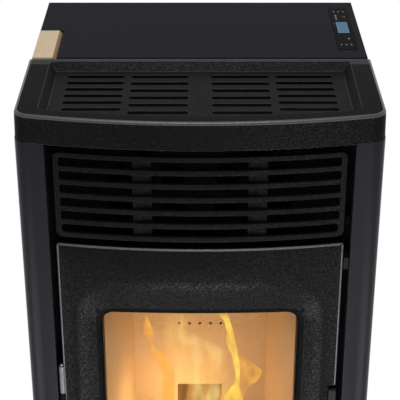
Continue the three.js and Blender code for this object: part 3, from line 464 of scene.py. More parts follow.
def vermiculite_finish():
    """Pressed flakes, darker towards the top, with painted shade, nearly black, on the front edges of the
    boards.
    """
    finish = Finish("vermiculite")
    flake = finish.cells(380, output="Color")
    tone = finish.node("ShaderNodeSeparateColor", {}, {"Color": flake})
    speck = finish.noise(700, 2, 0.7).above(0.62, 0.7)
    cloud = finish.noise(9, 4, 0.6)
    height = finish.along("Z")
    warm = finish.mix(cloud, (0.5, 0.3, 0.145), (0.62, 0.4, 0.2))
    flaked = finish.mix(0.25 * tone, warm, (0.3, 0.17, 0.08))
    specked = finish.mix(0.5 * speck, flaked, (0.12, 0.07, 0.04))
    # Darker towards the top.
    darker_top = finish.mix(0.35 * height.above(DARKER_TOP_LOW, DARKER_TOP_HIGH), specked, (0.2, 0.13, 0.09))
    # Painted shade: the front edges of the boards are made nearly black.
    edge = 1 - finish.along("Y").above(BOARD_EDGE - 0.001, BOARD_EDGE)
    front_painted_shade = finish.mix(0.85 * edge, darker_top, (0.07, 0.03, 0.015))
    return finish.surface(
        Base_Color=front_painted_shade, Roughness=0.9, Specular_IOR_Level=0.15,
        Normal=finish.bump(tone, 0.25, 0.0004),
    )


vermiculite = vermiculite_finish()
for node in ("fire_board_left", "fire_board_right", "fire_board_back", "baffle_board"):
    refined(node, [vermiculite], 0.0008)


# ---------------------------------------------------------------------------------------------
# Cast-iron finish, firebox floor and burn pot
# ---------------------------------------------------------------------------------------------
# Sand-cast iron sprayed with matt black stove paint: the skin keeps the grain of the mould, and
# the edges are shinier and painted lighter, a painted highlight. The pot drops into a hole in the floor
# casting.

REAR_RIM = -0.062


def cast_finish(name, shade, specular, sparkle, rim_from=2):
    """Painted cast iron. Above a height, the front rim is darker and the rear one is lighter, a
    painted highlight."""
    finish = Finish(name)
    sand = finish.noise(420, 3, 0.6)
    pits = finish.cells(330, "SMOOTH_F1")
    cloud = finish.noise(7, 3, 0.55)
    relief = sand + 0.6 * pits
    dark = (shade, shade, 1.05 * shade)
    light = (1.5 * shade, 1.5 * shade, 1.55 * shade)
    top_rim = finish.along("Z").above(rim_from, rim_from + 0.0004)
    front = 1 - finish.along("Y").above(REAR_RIM - 0.001, REAR_RIM + 0.001)
    # The front rim is made darker, then the rear rim lighter as a painted highlight.
    colour = finish.mix(0.55 * top_rim * front, finish.mix(cloud, dark, light), (0, 0, 0))
    colour = finish.mix(top_rim * (1 - front), colour, (4.5 * shade, 4.5 * shade, 4.6 * shade))
    glint = finish.noise(430, 2, 0.75).above(0.42, 0.72)
    return finish.surface(
        Base_Color=colour,
        Roughness=0.3 + 0.12 * sand, Specular_IOR_Level=specular,
        Coat_Weight=sparkle * glint, Coat_Roughness=0.3,
        Normal=finish.bump(relief, 0.5, 0.0006),
    )


sand_cast = cast_finish("sand_cast_iron", 0.0035, 0.008, 0.14)
# A lighter, shinier copy for rounded edges: the lighter colour is a painted highlight, the shine is real
# gloss.
shiny_edge_painted_highlight = cast_finish("shiny_cast_edge_painted_highlight", 0.02, 0.45, 0.1)
# A darker copy of the cast iron for the lip round the glass: painted shade.
lip_shade_cast = cast_finish("cast_iron_painted_lip_shade", 0.002, 0.004, 0.03)
cast_iron = [sand_cast, shiny_edge_painted_highlight]
for node in ("firebox_floor", "burn_pot"):
    refined(node, cast_iron, 0.0008)


# ---------------------------------------------------------------------------------------------
# Top casting
# ---------------------------------------------------------------------------------------------
# One casting with a bowed apron and a recess with sloped sides. Four groups of six slots let the
# warm air out, and four pads underneath carry the casting.

BOW_RADIUS = 1.075
BOW_CENTRE = 0.805
BOW_POINTS = 720
CAST_ROUND = 0.0011
CAST_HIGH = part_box("top_casting")[1]
TOP = CAST_HIGH.z
APRON = 0.041
TOP_HALF = CAST_HIGH.x
TOP_CORNER = 0.024
TOP_EDGE = 0.0042
TOP_WALL = 0.007

RECESS_DEPTH = 0.012
RECESS_FLOOR_HALF = 0.209
RECESS_RIM_HALF = 0.22
RECESS_BACK = -0.061
RECESS_SETBACK = 0.026
RECESS_MIDDLE = -0.1983
RECESS_SPREAD = 1.0874

PAD_X, PAD_ROWS = 0.232, (-0.188, -0.062)
PAD_LOW, PAD_HIGH = 0.954, 0.984
PAD_RADIUS = 0.007

SLOT_HALF_HEIGHT = 0.0052
SLOT_ROWS = 6
FIRST_SLOT = -0.0805
SLOT_COLUMNS = (
    {"low": 0.016, "high": 0.0995, "pitch": 0.0257},
    {"low": 0.108, "high": 0.191, "pitch": 0.0234},
)


def mark(piece, kind, test):
    """Selects, in edit mode, the vertices, edges or faces that pass the test."""
    bpy.ops.mesh.select_mode(type=kind)
    bpy.ops.mesh.select_all(action="DESELECT")
    mesh = bmesh.from_edit_mesh(piece.data)
    items = {"VERT": mesh.verts, "EDGE": mesh.edges, "FACE": mesh.faces}[kind]
    for item in items:
        item.select_set(test(item))
    bmesh.update_edit_mesh(piece.data)


def add_block(x, y, z, along=None, radius=0.0, segments=6):
    """A block between two values on each axis, with the edges along one axis rounded."""
    sides = (x, y, z)
    bpy.ops.object.select_all(action="DESELECT")
    bpy.ops.mesh.primitive_cube_add(
        size=1,
        location=[(low + high) / 2 for low, high in sides],
        scale=[high - low for low, high in sides],
    )
    piece = bpy.context.object
    bpy.ops.object.transform_apply(location=True, rotation=True, scale=True)
    if radius:
        bpy.ops.object.mode_set(mode="EDIT")
        mark(piece, "EDGE", lambda edge: abs((edge.verts[0].co - edge.verts[1].co)[along]) > 1e-6)
        bpy.ops.mesh.bevel(offset=radius, segments=segments, affect="EDGES")
        bpy.ops.object.mode_set(mode="OBJECT")
    return piece


def add_bowed_slab(half, back, setback, z, corner=0.0):
    """A slab cut from a large disc: bowed front, straight sides and back, round front corners."""
    low, high = z
    bpy.ops.object.select_all(action="DESELECT")
    bpy.ops.mesh.primitive_circle_add(vertices=BOW_POINTS, radius=BOW_RADIUS - setback,
                                      fill_type="NGON", location=(0, BOW_CENTRE, low))
    piece = bpy.context.object
    bpy.ops.object.transform_apply(location=True, rotation=True, scale=True)
    bpy.ops.object.mode_set(mode="EDIT")
    for place, normal in (((half, 0, 0), (1, 0, 0)), ((-half, 0, 0), (-1, 0, 0)), ((0, back, 0), (0, 1, 0))):
        bpy.ops.mesh.select_all(action="SELECT")
        bpy.ops.mesh.bisect(plane_co=place, plane_no=normal, clear_outer=True)
    if corner:
        reach = half - corner
        edge = half - 1e-5
        mark(piece, "VERT", lambda v: reach < abs(v.co.x) < edge and v.co.y < back - 1e-5)
        bpy.ops.mesh.dissolve_verts()
        mark(piece, "VERT", lambda v: abs(v.co.x) > edge and v.co.y < back - 1e-5)
        bpy.ops.mesh.bevel(offset=0.79 * corner, segments=10, affect="VERTICES")
    bpy.ops.mesh.select_all(action="SELECT")
    bpy.ops.mesh.extrude_region_move(TRANSFORM_OT_translate={"value": (0, 0, high - low)})
    bpy.ops.mesh.select_all(action="SELECT")
    bpy.ops.mesh.normals_make_consistent(inside=False)
    bpy.ops.object.mode_set(mode="OBJECT")
    return piece


def add_rod(x, y, z, radius, vertices):
    """An upright round rod between two heights."""
    low, high = z
    bpy.ops.mesh.primitive_cylinder_add(vertices=vertices, radius=radius, depth=high - low,
                                        location=(x, y, (low + high) / 2))
    bpy.ops.object.transform_apply(location=True, rotation=True, scale=True)
    return bpy.context.object


def combine(piece, tool, operation="DIFFERENCE"):
    """Cuts a tool from a piece, or joins it, and removes the tool."""
    modify(piece, "BOOLEAN", object=tool, operation=operation, solver="EXACT")
    bpy.data.objects.remove(tool)


def gather(pieces):
    """Joins separate pieces into one object."""
    bpy.ops.object.select_all(action="DESELECT")
    for piece in pieces:
        piece.select_set(True)
    bpy.context.view_layer.objects.active = pieces[0]
    bpy.ops.object.join()
    return pieces[0]


# A lighter copy of the cast iron for the casting's upper faces: painted light where the light from above
# falls.
painted_light_top_cast = cast_finish("top_cast_iron_painted_light", 0.0092, 0.006, 0.1, TOP - 0.0006)


def top_slots():
    slots = []
    for column in SLOT_COLUMNS:
        for row in range(SLOT_ROWS):
            y = FIRST_SLOT - row * column["pitch"]
            for side in (-1, 1):
                x = sorted((side * column["low"], side * column["high"]))
                slots.append(add_block(x, (y - SLOT_HALF_HEIGHT, y + SLOT_HALF_HEIGHT),
                                       (TOP - 0.03, TOP + 0.01), 2, SLOT_HALF_HEIGHT * 0.98, 6))
    return slots


def make_top_casting():
    back = CAST_HIGH.y
    top = add_bowed_slab(TOP_HALF, back, 0, (TOP - APRON, TOP), TOP_CORNER)
    top.data.materials.append(None)
    top.data.materials.append(None)
    bpy.ops.object.mode_set(mode="EDIT")
    mark(top, "FACE", lambda face: face.normal.z > 0.9)
    bpy.ops.transform.resize(value=(1 - 0.001 / TOP_HALF, 1, 1), center_override=(0, 0, 0))
    mark(top, "EDGE", lambda edge: all(v.co.z > TOP - 1e-5 for v in edge.verts))
    bpy.ops.mesh.bevel(offset=TOP_EDGE, segments=5, affect="EDGES", material=1)
    bpy.ops.object.mode_set(mode="OBJECT")

    recess = add_bowed_slab(RECESS_FLOOR_HALF, RECESS_BACK, RECESS_SETBACK,
                            (TOP - RECESS_DEPTH, TOP + 0.001), 0.008)
    bpy.ops.object.mode_set(mode="EDIT")
    mark(recess, "FACE", lambda face: face.normal.z > 0.9)
    bpy.ops.transform.resize(value=(RECESS_RIM_HALF / RECESS_FLOOR_HALF, RECESS_SPREAD, 1),
                             center_override=(0, RECESS_MIDDLE, 0))
    bpy.ops.object.mode_set(mode="OBJECT")
    combine(top, recess)
    combine(top, add_bowed_slab(TOP_HALF - TOP_WALL, back - TOP_WALL, TOP_WALL,
                                (TOP - APRON - 0.001, TOP - 0.018), TOP_CORNER - TOP_WALL))
    combine(top, gather(top_slots()))
    pads = [add_rod(x, y, (PAD_LOW, PAD_HIGH), PAD_RADIUS, 20)
            for x in (-PAD_X, PAD_X) for y in PAD_ROWS]
    combine(top, gather(pads), "UNION")

    round_edges(top, CAST_ROUND, 3, 28, 1)
    # Upright faces below the recess floor keep the darker cast iron, so the lighter upper faces are painted
    # light.
    for face in top.data.polygons:
        if face.material_index == 0 and abs(face.normal.z) < 0.5 and face.center.z < TOP - RECESS_DEPTH:
            face.material_index = 2
    return stand_for(top, "top_plate", [painted_light_top_cast, shiny_edge_painted_highlight, sand_cast], "top_casting")


make_top_casting()


# ---------------------------------------------------------------------------------------------
# Front grille
# ---------------------------------------------------------------------------------------------
# A bowed casting with six long slots. Two folded legs carry it on the frame behind.

GRILLE_LOW, GRILLE_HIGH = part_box("front_grille")
FRONT_SETBACK = 0.01
GRILLE_WALL = 0.007
GRILLE_CORNER = 0.009
BAR = 0.008
GRILLE_ROWS = 6
LOW_SLOT_CORNER, SLOT_CORNER = 0.0058, 0.0025
LEG_SPAN = (0.066, 0.092)
LEG_FRONT = -0.2525
LEG_HEIGHT = (0.82, 0.94)
LEG_SHEET = 0.002


def make_grille():
    half = GRILLE_HIGH.x
    low, high = GRILLE_LOW.z, GRILLE_HIGH.z
    slot = (high - low - BAR * (GRILLE_ROWS + 1)) / GRILLE_ROWS
    grille = add_bowed_slab(half + 0.01, -0.2, FRONT_SETBACK, (low - 0.001, high + 0.001))
    combine(grille, add_bowed_slab(half + 0.02, -0.19, FRONT_SETBACK + GRILLE_WALL,
                                   (low - 0.002, high + 0.002)))
    outline = add_block((-half, half), (-0.28, -0.23), (low, high), 1, GRILLE_CORNER, 8)
    combine(grille, outline, "INTERSECT")
    slots = []
    for row in range(GRILLE_ROWS):
        base = low + BAR + row * (slot + BAR)
        corner = LOW_SLOT_CORNER if row == 0 else SLOT_CORNER
        slots.append(add_block((BAR - half, half - BAR), (-0.3, -0.2), (base, base + slot), 1, corner, 5))
    combine(grille, gather(slots))
    round_edges(grille, CAST_ROUND, 3, 28, 1)
    legs = []
    for side in (-1, 1):
        x = sorted(side * edge for edge in LEG_SPAN)
        leg = add_block(x, (LEG_FRONT, GRILLE_HIGH.y), LEG_HEIGHT)
        combine(leg, add_block((x[0] + LEG_SHEET, x[1] - LEG_SHEET), (LEG_FRONT + 0.0035, -0.2), (0.8, 0.96)))
        # The legs take the near-black paint, painted shade behind the grille.
        leg.data.polygons.foreach_set("material_index", [2] * len(leg.data.polygons))
        legs.append(leg)
    legs[0].data.materials.append(None)
    grille = gather([grille, *legs])
    return stand_for(grille, "grille_casting", [*cast_iron, gap_shade_black], "front_grille")


make_grille()


# ---------------------------------------------------------------------------------------------
# Ash drawer front
# ---------------------------------------------------------------------------------------------
# Cast and bowed like the door above it, with a scoop in its top edge for the fingers. It closes
# the front of the sheet-metal ash tray.

refined("ash_drawer_front", cast_iron, CAST_ROUND, 3)


# ---------------------------------------------------------------------------------------------
# Door
# ---------------------------------------------------------------------------------------------
# A hollow-backed casting. Its bowed band runs softly into a dish, and the dish ends in a rolled
# lip round the ceramic glass. Two lugs hang on the pins at the left.

DOOR_LOW, DOOR_HIGH = 0.215, 0.8023
DOOR_HALF = 0.2022
DOOR_BACK = -0.221
WINDOW_HALF = 0.142
WINDOW_LOW, WINDOW_HIGH = 0.33, 0.685
WINDOW_LIP = 0.009
DISH_HALF = 0.185
DISH_LOW, DISH_HIGH = 0.267, 0.7505
DISH_CORNER, LIP_CORNER = 0.062, 0.026
GLASS_SEAT = -0.2295
NOTCH_LOW, NOTCH_HIGH = 0.395, 0.56
NOTCH_LEFT = 0.1908
NOTCH_WALL = 0.004
HINGE_X, HINGE_Y = -0.2045, -0.238
LUG_RADIUS = 0.0047
PIN_BORE, BRACKET_BORE = 0.0028, 0.0052
CORNER_POINTS = 9
LEVEL_POINTS = 24
UPRIGHT_POINTS = 12


def bow(x):
    """How far forward the bowed front stands at a distance from the middle."""
    return BOW_CENTRE - math.sqrt((BOW_RADIUS - FRONT_SETBACK) ** 2 - x * x)


def rounded_loop(half, low, high, radius):
    """Points round an upright rounded rectangle, in X and Z."""
    points = []
    corners = ((half, low, -90), (half, high, 0), (-half, high, 90), (-half, low, 180))
    between = (UPRIGHT_POINTS, LEVEL_POINTS, UPRIGHT_POINTS, LEVEL_POINTS)
    arcs = []
    for x, z, start in corners:
        centre_x = x - math.copysign(radius, x)
        centre_z = z + (radius if z == low else -radius)
        arcs.append([(centre_x + radius * math.cos(math.radians(start + 90 * k / (CORNER_POINTS - 1))),
                      centre_z + radius * math.sin(math.radians(start + 90 * k / (CORNER_POINTS - 1))))
                     for k in range(CORNER_POINTS)])
    for index, arc in enumerate(arcs):
        points += arc
        ahead = arcs[(index + 1) % 4][0]
        count = between[index]
        for k in range(1, count):
            part = k / count
            points.append((arc[-1][0] + (ahead[0] - arc[-1][0]) * part,
                           arc[-1][1] + (ahead[1] - arc[-1][1]) * part))
    return points


def blend(first, second, part):
    return first + (second - first) * part


def door_rings():
    """The door's section, as rings from the back of its outer edge, round the front, and back."""
    def ring(half, low, high, radius, depth):
        return [(x, depth(x), z) for x, z in rounded_loop(half, low, high, radius)]

    def edge(inset, radius, depth):
        return ring(DOOR_HALF - inset, DOOR_LOW + inset, DOOR_HIGH - inset, radius, depth)

    def window(grow, radius, depth):
        return ring(WINDOW_HALF + grow, WINDOW_LOW - grow, WINDOW_HIGH + grow, radius, depth)

    def seat(x):
        return -0.243 + x * x / 4

    def at(y):
        return lambda x: y

    rings = [
        edge(0, 0.004, at(DOOR_BACK)),
        edge(0, 0.004, at(-0.229)),
        edge(0, 0.004, lambda x: bow(x) + 0.0026),
        edge(0.0003, 0.004, lambda x: bow(x) + 0.0014),
        edge(0.0012, 0.0035, lambda x: bow(x) + 0.0004),
        edge(0.0028, 0.0032, bow),
    ]
    easing = 0.42
    for part in (0, 0.06, 0.12, 0.18, 0.24, 0.3, 0.36, 0.42, 0.6, 0.8, 0.97, 1):
        rise = part * part / (2 * easing) if part < easing else part - easing / 2
        rise = rise / (1 - easing / 2)
        half = blend(DISH_HALF, WINDOW_HALF + WINDOW_LIP, part)
        low = blend(DISH_LOW, WINDOW_LOW - WINDOW_LIP, part)
        high = blend(DISH_HIGH, WINDOW_HIGH + WINDOW_LIP, part)
        radius = blend(DISH_CORNER, LIP_CORNER, part)
        rings.append(ring(half, low, high, radius, lambda x, r=rise: blend(bow(x), seat(x), r)))
    for turn in (15, 30, 45, 60, 75, 90):
        angle = math.radians(turn)
        grow = WINDOW_LIP * (1 - math.sin(angle))
        rings.append(window(grow, 0.017 + grow, lambda x, a=angle: seat(x) + 0.0045 * (1 - math.cos(a))))
    rings += [
        window(0, 0.017, at(GLASS_SEAT)),
        window(0.014, 0.02, at(GLASS_SEAT)),
        window(0.014, 0.02, at(DOOR_BACK)),
        window(0.036, 0.024, at(DOOR_BACK)),
        ring(0.18, WINDOW_LOW - 0.042, WINDOW_HIGH + 0.042, 0.024, lambda x: bow(x) + 0.009),
        edge(0.007, 0.006, lambda x: bow(x) + 0.008),
        edge(0.007, 0.006, at(DOOR_BACK)),
    ]
    return rings


def add_ring_skin(rings):
    """A torus whose sections are laid on the given rings."""
    count = len(rings[0])
    bpy.ops.object.select_all(action="DESELECT")
    bpy.ops.mesh.primitive_torus_add(major_segments=count, minor_segments=len(rings),
                                     major_radius=1, minor_radius=0.2)
    piece = bpy.context.object
    for index, vertex in enumerate(piece.data.vertices):
        vertex.co = rings[index % len(rings)][index // len(rings)]
    bpy.ops.object.mode_set(mode="EDIT")
    bpy.ops.mesh.select_all(action="SELECT")
    bpy.ops.mesh.normals_make_consistent(inside=False)
    bpy.ops.object.mode_set(mode="OBJECT")
    return piece


def make_door():
    door = add_ring_skin(door_rings())
    combine(door, add_block((0.186, DOOR_HALF - 0.0001), (-0.237, DOOR_BACK - 0.0001),
                            (NOTCH_LOW - NOTCH_WALL, NOTCH_HIGH + NOTCH_WALL)), "UNION")
    combine(door, add_block((NOTCH_LEFT, 0.24), (-0.3, -0.2), (NOTCH_LOW, NOTCH_HIGH), 1, 0.0035, 4))
    for low, high in (UPPER_LUG, LOWER_LUG):
        lug = add_rod(HINGE_X, HINGE_Y, (low, high), LUG_RADIUS, 28)
        combine(lug, add_block((HINGE_X, -0.199), (-0.24, -0.229), (low, high)), "UNION")
        combine(door, lug, "UNION")
        combine(door, add_rod(HINGE_X, HINGE_Y, (low - 0.02, high + 0.01), PIN_BORE, 24))
        combine(door, add_rod(HINGE_X, HINGE_Y, (low - 0.026, low), BRACKET_BORE, 24))
    choose(door)
    bpy.ops.object.shade_smooth_by_angle(angle=math.radians(32))
    # The door's outer rim takes the shiny edge copy, whose lighter colour is a painted highlight.
    # The lip round the glass takes the darker copy, painted shade.
    for face in door.data.polygons:
        x, y, z = face.center
        rim = abs(x) > DOOR_HALF - 0.0027 or z > DOOR_HIGH - 0.0027 or z < DOOR_LOW + 0.0027
        lip = abs(x) < WINDOW_HALF + 0.0085 and WINDOW_LOW - 0.0085 < z < WINDOW_HIGH + 0.0085
        worn = rim and y < bow(x) + 0.003 and abs(face.normal.x) < 0.99
        face.material_index = 1 if worn else 2 if lip else 0
    return stand_for(door, "door_shell", [*cast_iron, lip_shade_cast], "door_casting")


make_door()


def rope_finish():
    finish = Finish("glass_rope")
    strand = finish.noise(260, 2, 0.5, (1, 1, 2.4))
    fluff = finish.noise(900, 3, 0.7)
    colour = finish.mix(strand, (0.05, 0.046, 0.042), (0.12, 0.112, 0.1))
    return finish.surface(
        Base_Color=colour, Roughness=0.95, Specular_IOR_Level=0.1,
        Normal=finish.bump(strand + 0.3 * fluff, 0.7, 0.0008),
    )


rope = rope_finish()
for node in ("door_rope_seal", "glass_gasket"):
    refined(node, [rope], 0.0012, 3)


def glass_finish():
    finish = Finish("ceramic_glass")
    return finish.surface(
        Base_Color=(1.0, 0.99, 0.97), Roughness=0.0, IOR=1.05, Transmission_Weight=1.0,
    )


clear_glass = glass_finish()
dress(clear_glass, "door_glass")


# ---------------------------------------------------------------------------------------------
# Door handle
# ---------------------------------------------------------------------------------------------
# A slim steel lever in the colour of the side panels, in a notch at the free edge of the door.
# It tips forward on a pin at its foot.

refined("door_handle", [satin_grey], 0.0012, 3)


# ---------------------------------------------------------------------------------------------
# Hopper lid
# ---------------------------------------------------------------------------------------------
# A folded sheet cover, powder-coated a little paler than the side panels, with cut-outs for the
# grip and the controls. It hangs on two hinges at the rear and rests on a rubber gasket.

lid_grey = casing_paint("lid_powder_coat", (0.0158, 0.0158, 0.0202), (0.0184, 0.0184, 0.0232), 0.003)
refined("lid", [lid_grey], 0.0012, 3)


# ---------------------------------------------------------------------------------------------
# Wooden grip
# ---------------------------------------------------------------------------------------------
# A block of pale oiled ash, screwed to a ledge of the lid. Its inner top edge is chamfered and
# coloured a darker brown.

CHAMFER_X = -0.2176


def wood_finish():
    finish = Finish("pale_ash")
    ring = finish.noise(55, 4, 0.6, (1.6, 0.09, 1.6))
    pore = finish.noise(420, 3, 0.7, (1.5, 0.05, 1.5))
    patch = finish.noise(22, 2, 0.5, (1, 0.35, 1))
    inner = finish.along("X").above(CHAMFER_X, CHAMFER_X + 0.001)
    pale_wood = finish.mix(ring, (0.49, 0.37, 0.235), (0.66, 0.53, 0.375))
    patched = finish.mix(0.35 * patch, pale_wood, (0.6, 0.5, 0.33))
    pored = finish.mix(0.4 * pore.above(0.56, 0.72), patched, (0.33, 0.22, 0.12))
    # The chamfer on the inner side is coloured a darker brown.
    darker_chamfer = finish.mix(0.88 * inner, pored, (0.2, 0.1, 0.035))
    return finish.surface(
        Base_Color=darker_chamfer, Roughness=0.5 + 0.1 * pore, Specular_IOR_Level=0.3,
        Normal=finish.bump(pore, 0.15, 0.0003),
    )


pale_ash = wood_finish()
refined("wood_grip", [pale_ash], 0.0006, 2)


# ---------------------------------------------------------------------------------------------
# Control strip
# ---------------------------------------------------------------------------------------------
# A glossy black moulding let into the lid, with a blue display, a small amber status lamp and
# pale printed symbols.

def strip_finish():
    finish = Finish("gloss_black_plastic")
    smear = finish.noise(25, 3, 0.6)
    return finish.surface(
        Base_Color=(0.004, 0.004, 0.0042), Roughness=0.2 + 0.1 * smear, Specular_IOR_Level=0.005,
    )


gloss_black = strip_finish()
refined("control_panel", [gloss_black], 0.0003)
dress(gloss_black, "power_inlet", "power_rocker")


def display_finish():
    finish = Finish("blue_display")
    across, along = finish.along("X"), finish.along("Y")
    left_rim, right_rim, near_rim = (0.2138, 0.2152), (0.2289, 0.2301), (0.0682, 0.071)
    middle = across.above(*left_rim) * (1 - across.above(*right_rim)) * along.above(*near_rim)
    colour = finish.mix(1 - middle, (0.06, 0.14, 0.205), (0.085, 0.2, 0.29))
    return finish.surface(
        Base_Color=colour, Roughness=0.25, Specular_IOR_Level=0.02,
        Emission_Color=colour, Emission_Strength=0.2,
    )


blue_display = display_finish()
dress(blue_display, "display_window")

PRINT_Z = 1.0005
PRINT_THICKNESS = 0.0002
BUTTON_ROWS = ({"y": 0.1636, "x": 0.222}, {"y": 0.0162, "x": 0.221})
ARC_OFFSET, ARC_RADIUS = 0.0055, 0.0026
DOT_RADIUS = 0.0011
LEVEL_BARS = 5
LEVEL_X, FIRST_LEVEL, LEVEL_PITCH = 0.2155, 0.1265, 0.005
FINE_STROKE = 0.0003
FINE_RINGS = ((0.2281, 0.1395, 0.0021), (0.2102, 0.1094, 0.0007), (0.2102, 0.1, 0.0007))


def add_printed_ring(x, y, radius, side=0, stroke=0.0006):
    """A flat printed ring, or only its arc towards one side."""
    bpy.ops.object.select_all(action="DESELECT")
    bpy.ops.mesh.primitive_torus_add(major_radius=radius, minor_radius=stroke,
                                     major_segments=32, minor_segments=6)
    piece = bpy.context.object
    bpy.ops.object.mode_set(mode="EDIT")
    bpy.ops.mesh.select_all(action="SELECT")
    bpy.ops.transform.resize(value=(1, 1, PRINT_THICKNESS / 2 / stroke), center_override=(0, 0, 0))
    if side:
        bpy.ops.mesh.bisect(plane_co=(0.3 * side * radius, 0, 0), plane_no=(-side, 0, 0),
                            clear_outer=True, use_fill=True)
    for vertex in bmesh.from_edit_mesh(piece.data).verts:
        vertex.co += Vector((x, y, PRINT_Z))
    bpy.ops.object.mode_set(mode="OBJECT")
    return piece


def print_finish():
    finish = Finish("pale_print")
    wear = finish.noise(900, 3, 0.6)
    return finish.surface(
        Base_Color=finish.mix(wear, (0.3, 0.29, 0.27), (0.2, 0.19, 0.18)), Roughness=0.6,
        Specular_IOR_Level=0.1,
    )


def make_symbols():
    """Two rows of arcs round a dot, a fan of level bars and three fine rings."""
    symbols = []
    for row in BUTTON_ROWS:
        symbols.append(add_printed_ring(row["x"] - ARC_OFFSET, row["y"], ARC_RADIUS, -1))
        symbols.append(add_printed_ring(row["x"], row["y"], DOT_RADIUS))
        symbols.append(add_printed_ring(row["x"] + ARC_OFFSET, row["y"], ARC_RADIUS, 1))
    for step in range(LEVEL_BARS):
        y = FIRST_LEVEL + LEVEL_PITCH * step
        half = 0.0011 + 0.00015 * step
        symbols.append(add_block((LEVEL_X - half, LEVEL_X + half), (y - 0.0011, y + 0.0011),
                                 (PRINT_Z - PRINT_THICKNESS / 2, PRINT_Z + PRINT_THICKNESS / 2),
                                 2, 0.0005, 3))
    for x, y, radius in FINE_RINGS:
        symbols.append(add_printed_ring(x, y, radius, stroke=FINE_STROKE))
    add_to("lid", gather(symbols), "printed_symbols", print_finish())


make_symbols()


def lamp_finish():
    finish = Finish("amber_lamp")
    glow = finish.noise(300, 2, 0.5)
    amber = finish.mix(glow, (0.3, 0.13, 0.04), (0.42, 0.19, 0.06))
    return finish.surface(Base_Color=amber, Roughness=0.3, Specular_IOR_Level=0.1,
                          Emission_Color=amber, Emission_Strength=0.5)


LAMP_PLACE = (0.227, 0.042, 1.0003)
LAMP_RADIUS = 0.0017


def make_status_lamp():
    """A small bead, pressed flat."""
    bpy.ops.object.select_all(action="DESELECT")
    bpy.ops.mesh.primitive_uv_sphere_add(segments=24, ring_count=12, radius=LAMP_RADIUS,
                                         location=LAMP_PLACE, scale=(1, 1, 0.3))
    piece = bpy.context.object
    bpy.ops.object.transform_apply(location=True, rotation=True, scale=True)
    bpy.ops.object.shade_smooth()
    add_to("lid", piece, "status_lamp", lamp_finish())


make_status_lamp()


# ---------------------------------------------------------------------------------------------
# Electronic board
# ---------------------------------------------------------------------------------------------
# A green board with its relays, capacitors and terminals moulded in black. It stands upright
# behind the right side panel.

BOARD_FACE = 0.226


def board_finish():
    finish = Finish("circuit_board")
    track = finish.cells(160, "DISTANCE_TO_EDGE").above(0.02, 0.05)
    raised = 1 - finish.along("X").above(BOARD_FACE - 0.0002, BOARD_FACE + 0.0002)
    green = finish.mix(track, (0.03, 0.16, 0.06), (0.012, 0.09, 0.03))
    colour = finish.mix(raised, green, (0.03, 0.03, 0.034))
    return finish.surface(Base_Color=colour, Roughness=0.5, Specular_IOR_Level=0.4)


dress(board_finish(), "control_board")


# ---------------------------------------------------------------------------------------------
# Fire
# ---------------------------------------------------------------------------------------------
# Flames of burning pellets rise from the pot as thin curved veils, over a bed of glowing pellets.
# Two small lamps stand in for the light that the flames throw on the boards.

FLAME_Y = -0.09
VEIL_THICKNESS = 0.0004
VEIL_BULGE = 0.2
PELLETS = 110
PELLET_RADIUS = 0.003
PELLET_LENGTHS = (0.009, 0.018)
BED_X = (-0.033, 0.033)
BED_Y = (-0.095, -0.045)
BED_Z = (0.273, 0.312)


def smooth_row(rows, place):
    """A row between the given rows, on smooth curves through their values."""
    index = min(int(place), len(rows) - 2)
    part = place - index
    near = [rows[min(max(index + step, 0), len(rows) - 1)] for step in (-1, 0, 1, 2)]
    return [
        0.5 * (2 * b + (c - a) * part + (2 * a - 5 * b + 4 * c - d) * part**2
               + (3 * b - a - 3 * c + d) * part**3)
        for a, b, c, d in zip(*near)
    ]


def flame_finish(name, cool, hot, density, softness):
    """Glowing gas, dense in the middle and thin towards its edges and its tip."""
    finish = Finish(name)
    chart = finish.node("ShaderNodeTexCoord", output="UV")
    across, up = [finish.node("ShaderNodeSeparateXYZ", sockets={"Vector": chart}, output=axis)
                  for axis in ("X", "Y")]
    streak = finish.noise(70, 3, 0.55, (1, 1, 0.22))
    billow = finish.noise(26, 2, 0.5)
    edge = across.above(0, softness) * (1 - across.above(1 - softness, 1))
    tip = 1 - up.above(0.8, 1)
    body = (0.45 + 0.9 * streak.above(0.3, 0.7)) * (0.6 + 0.6 * billow.above(0.35, 0.65))
    return finish.surface(
        Base_Color=(0, 0, 0), Roughness=1.0, Specular_IOR_Level=0.0,
        Emission_Color=finish.mix(streak.above(0.35, 0.65), cool, hot), Emission_Strength=1.0,
        Alpha=(density * body * edge * tip).clamped(),
    )


def add_veil(name, rows, finish, behind=0.0):
    """A thin sheet of flame. A row gives a height and the two edges there, in millimetres."""
    bpy.ops.object.select_all(action="DESELECT")
    bpy.ops.mesh.primitive_grid_add(x_subdivisions=16, y_subdivisions=80, size=1)
    veil = bpy.context.object
    for vertex in veil.data.vertices:
        across, up = vertex.co.x + 0.5, vertex.co.y + 0.5
        height, left, right = (value / 1000 for value in smooth_row(rows, up * (len(rows) - 1)))
        bulge = VEIL_BULGE * (right - left) * math.sin(math.pi * across)
        vertex.co = (blend(left, right, across), FLAME_Y + behind - bulge, height)
    modify(veil, "SOLIDIFY", thickness=VEIL_THICKNESS, offset=0)
    bpy.ops.object.shade_smooth()
    veil.visible_shadow = False
    veil.visible_diffuse = False
    add_to("burn_pot", veil, name, finish)


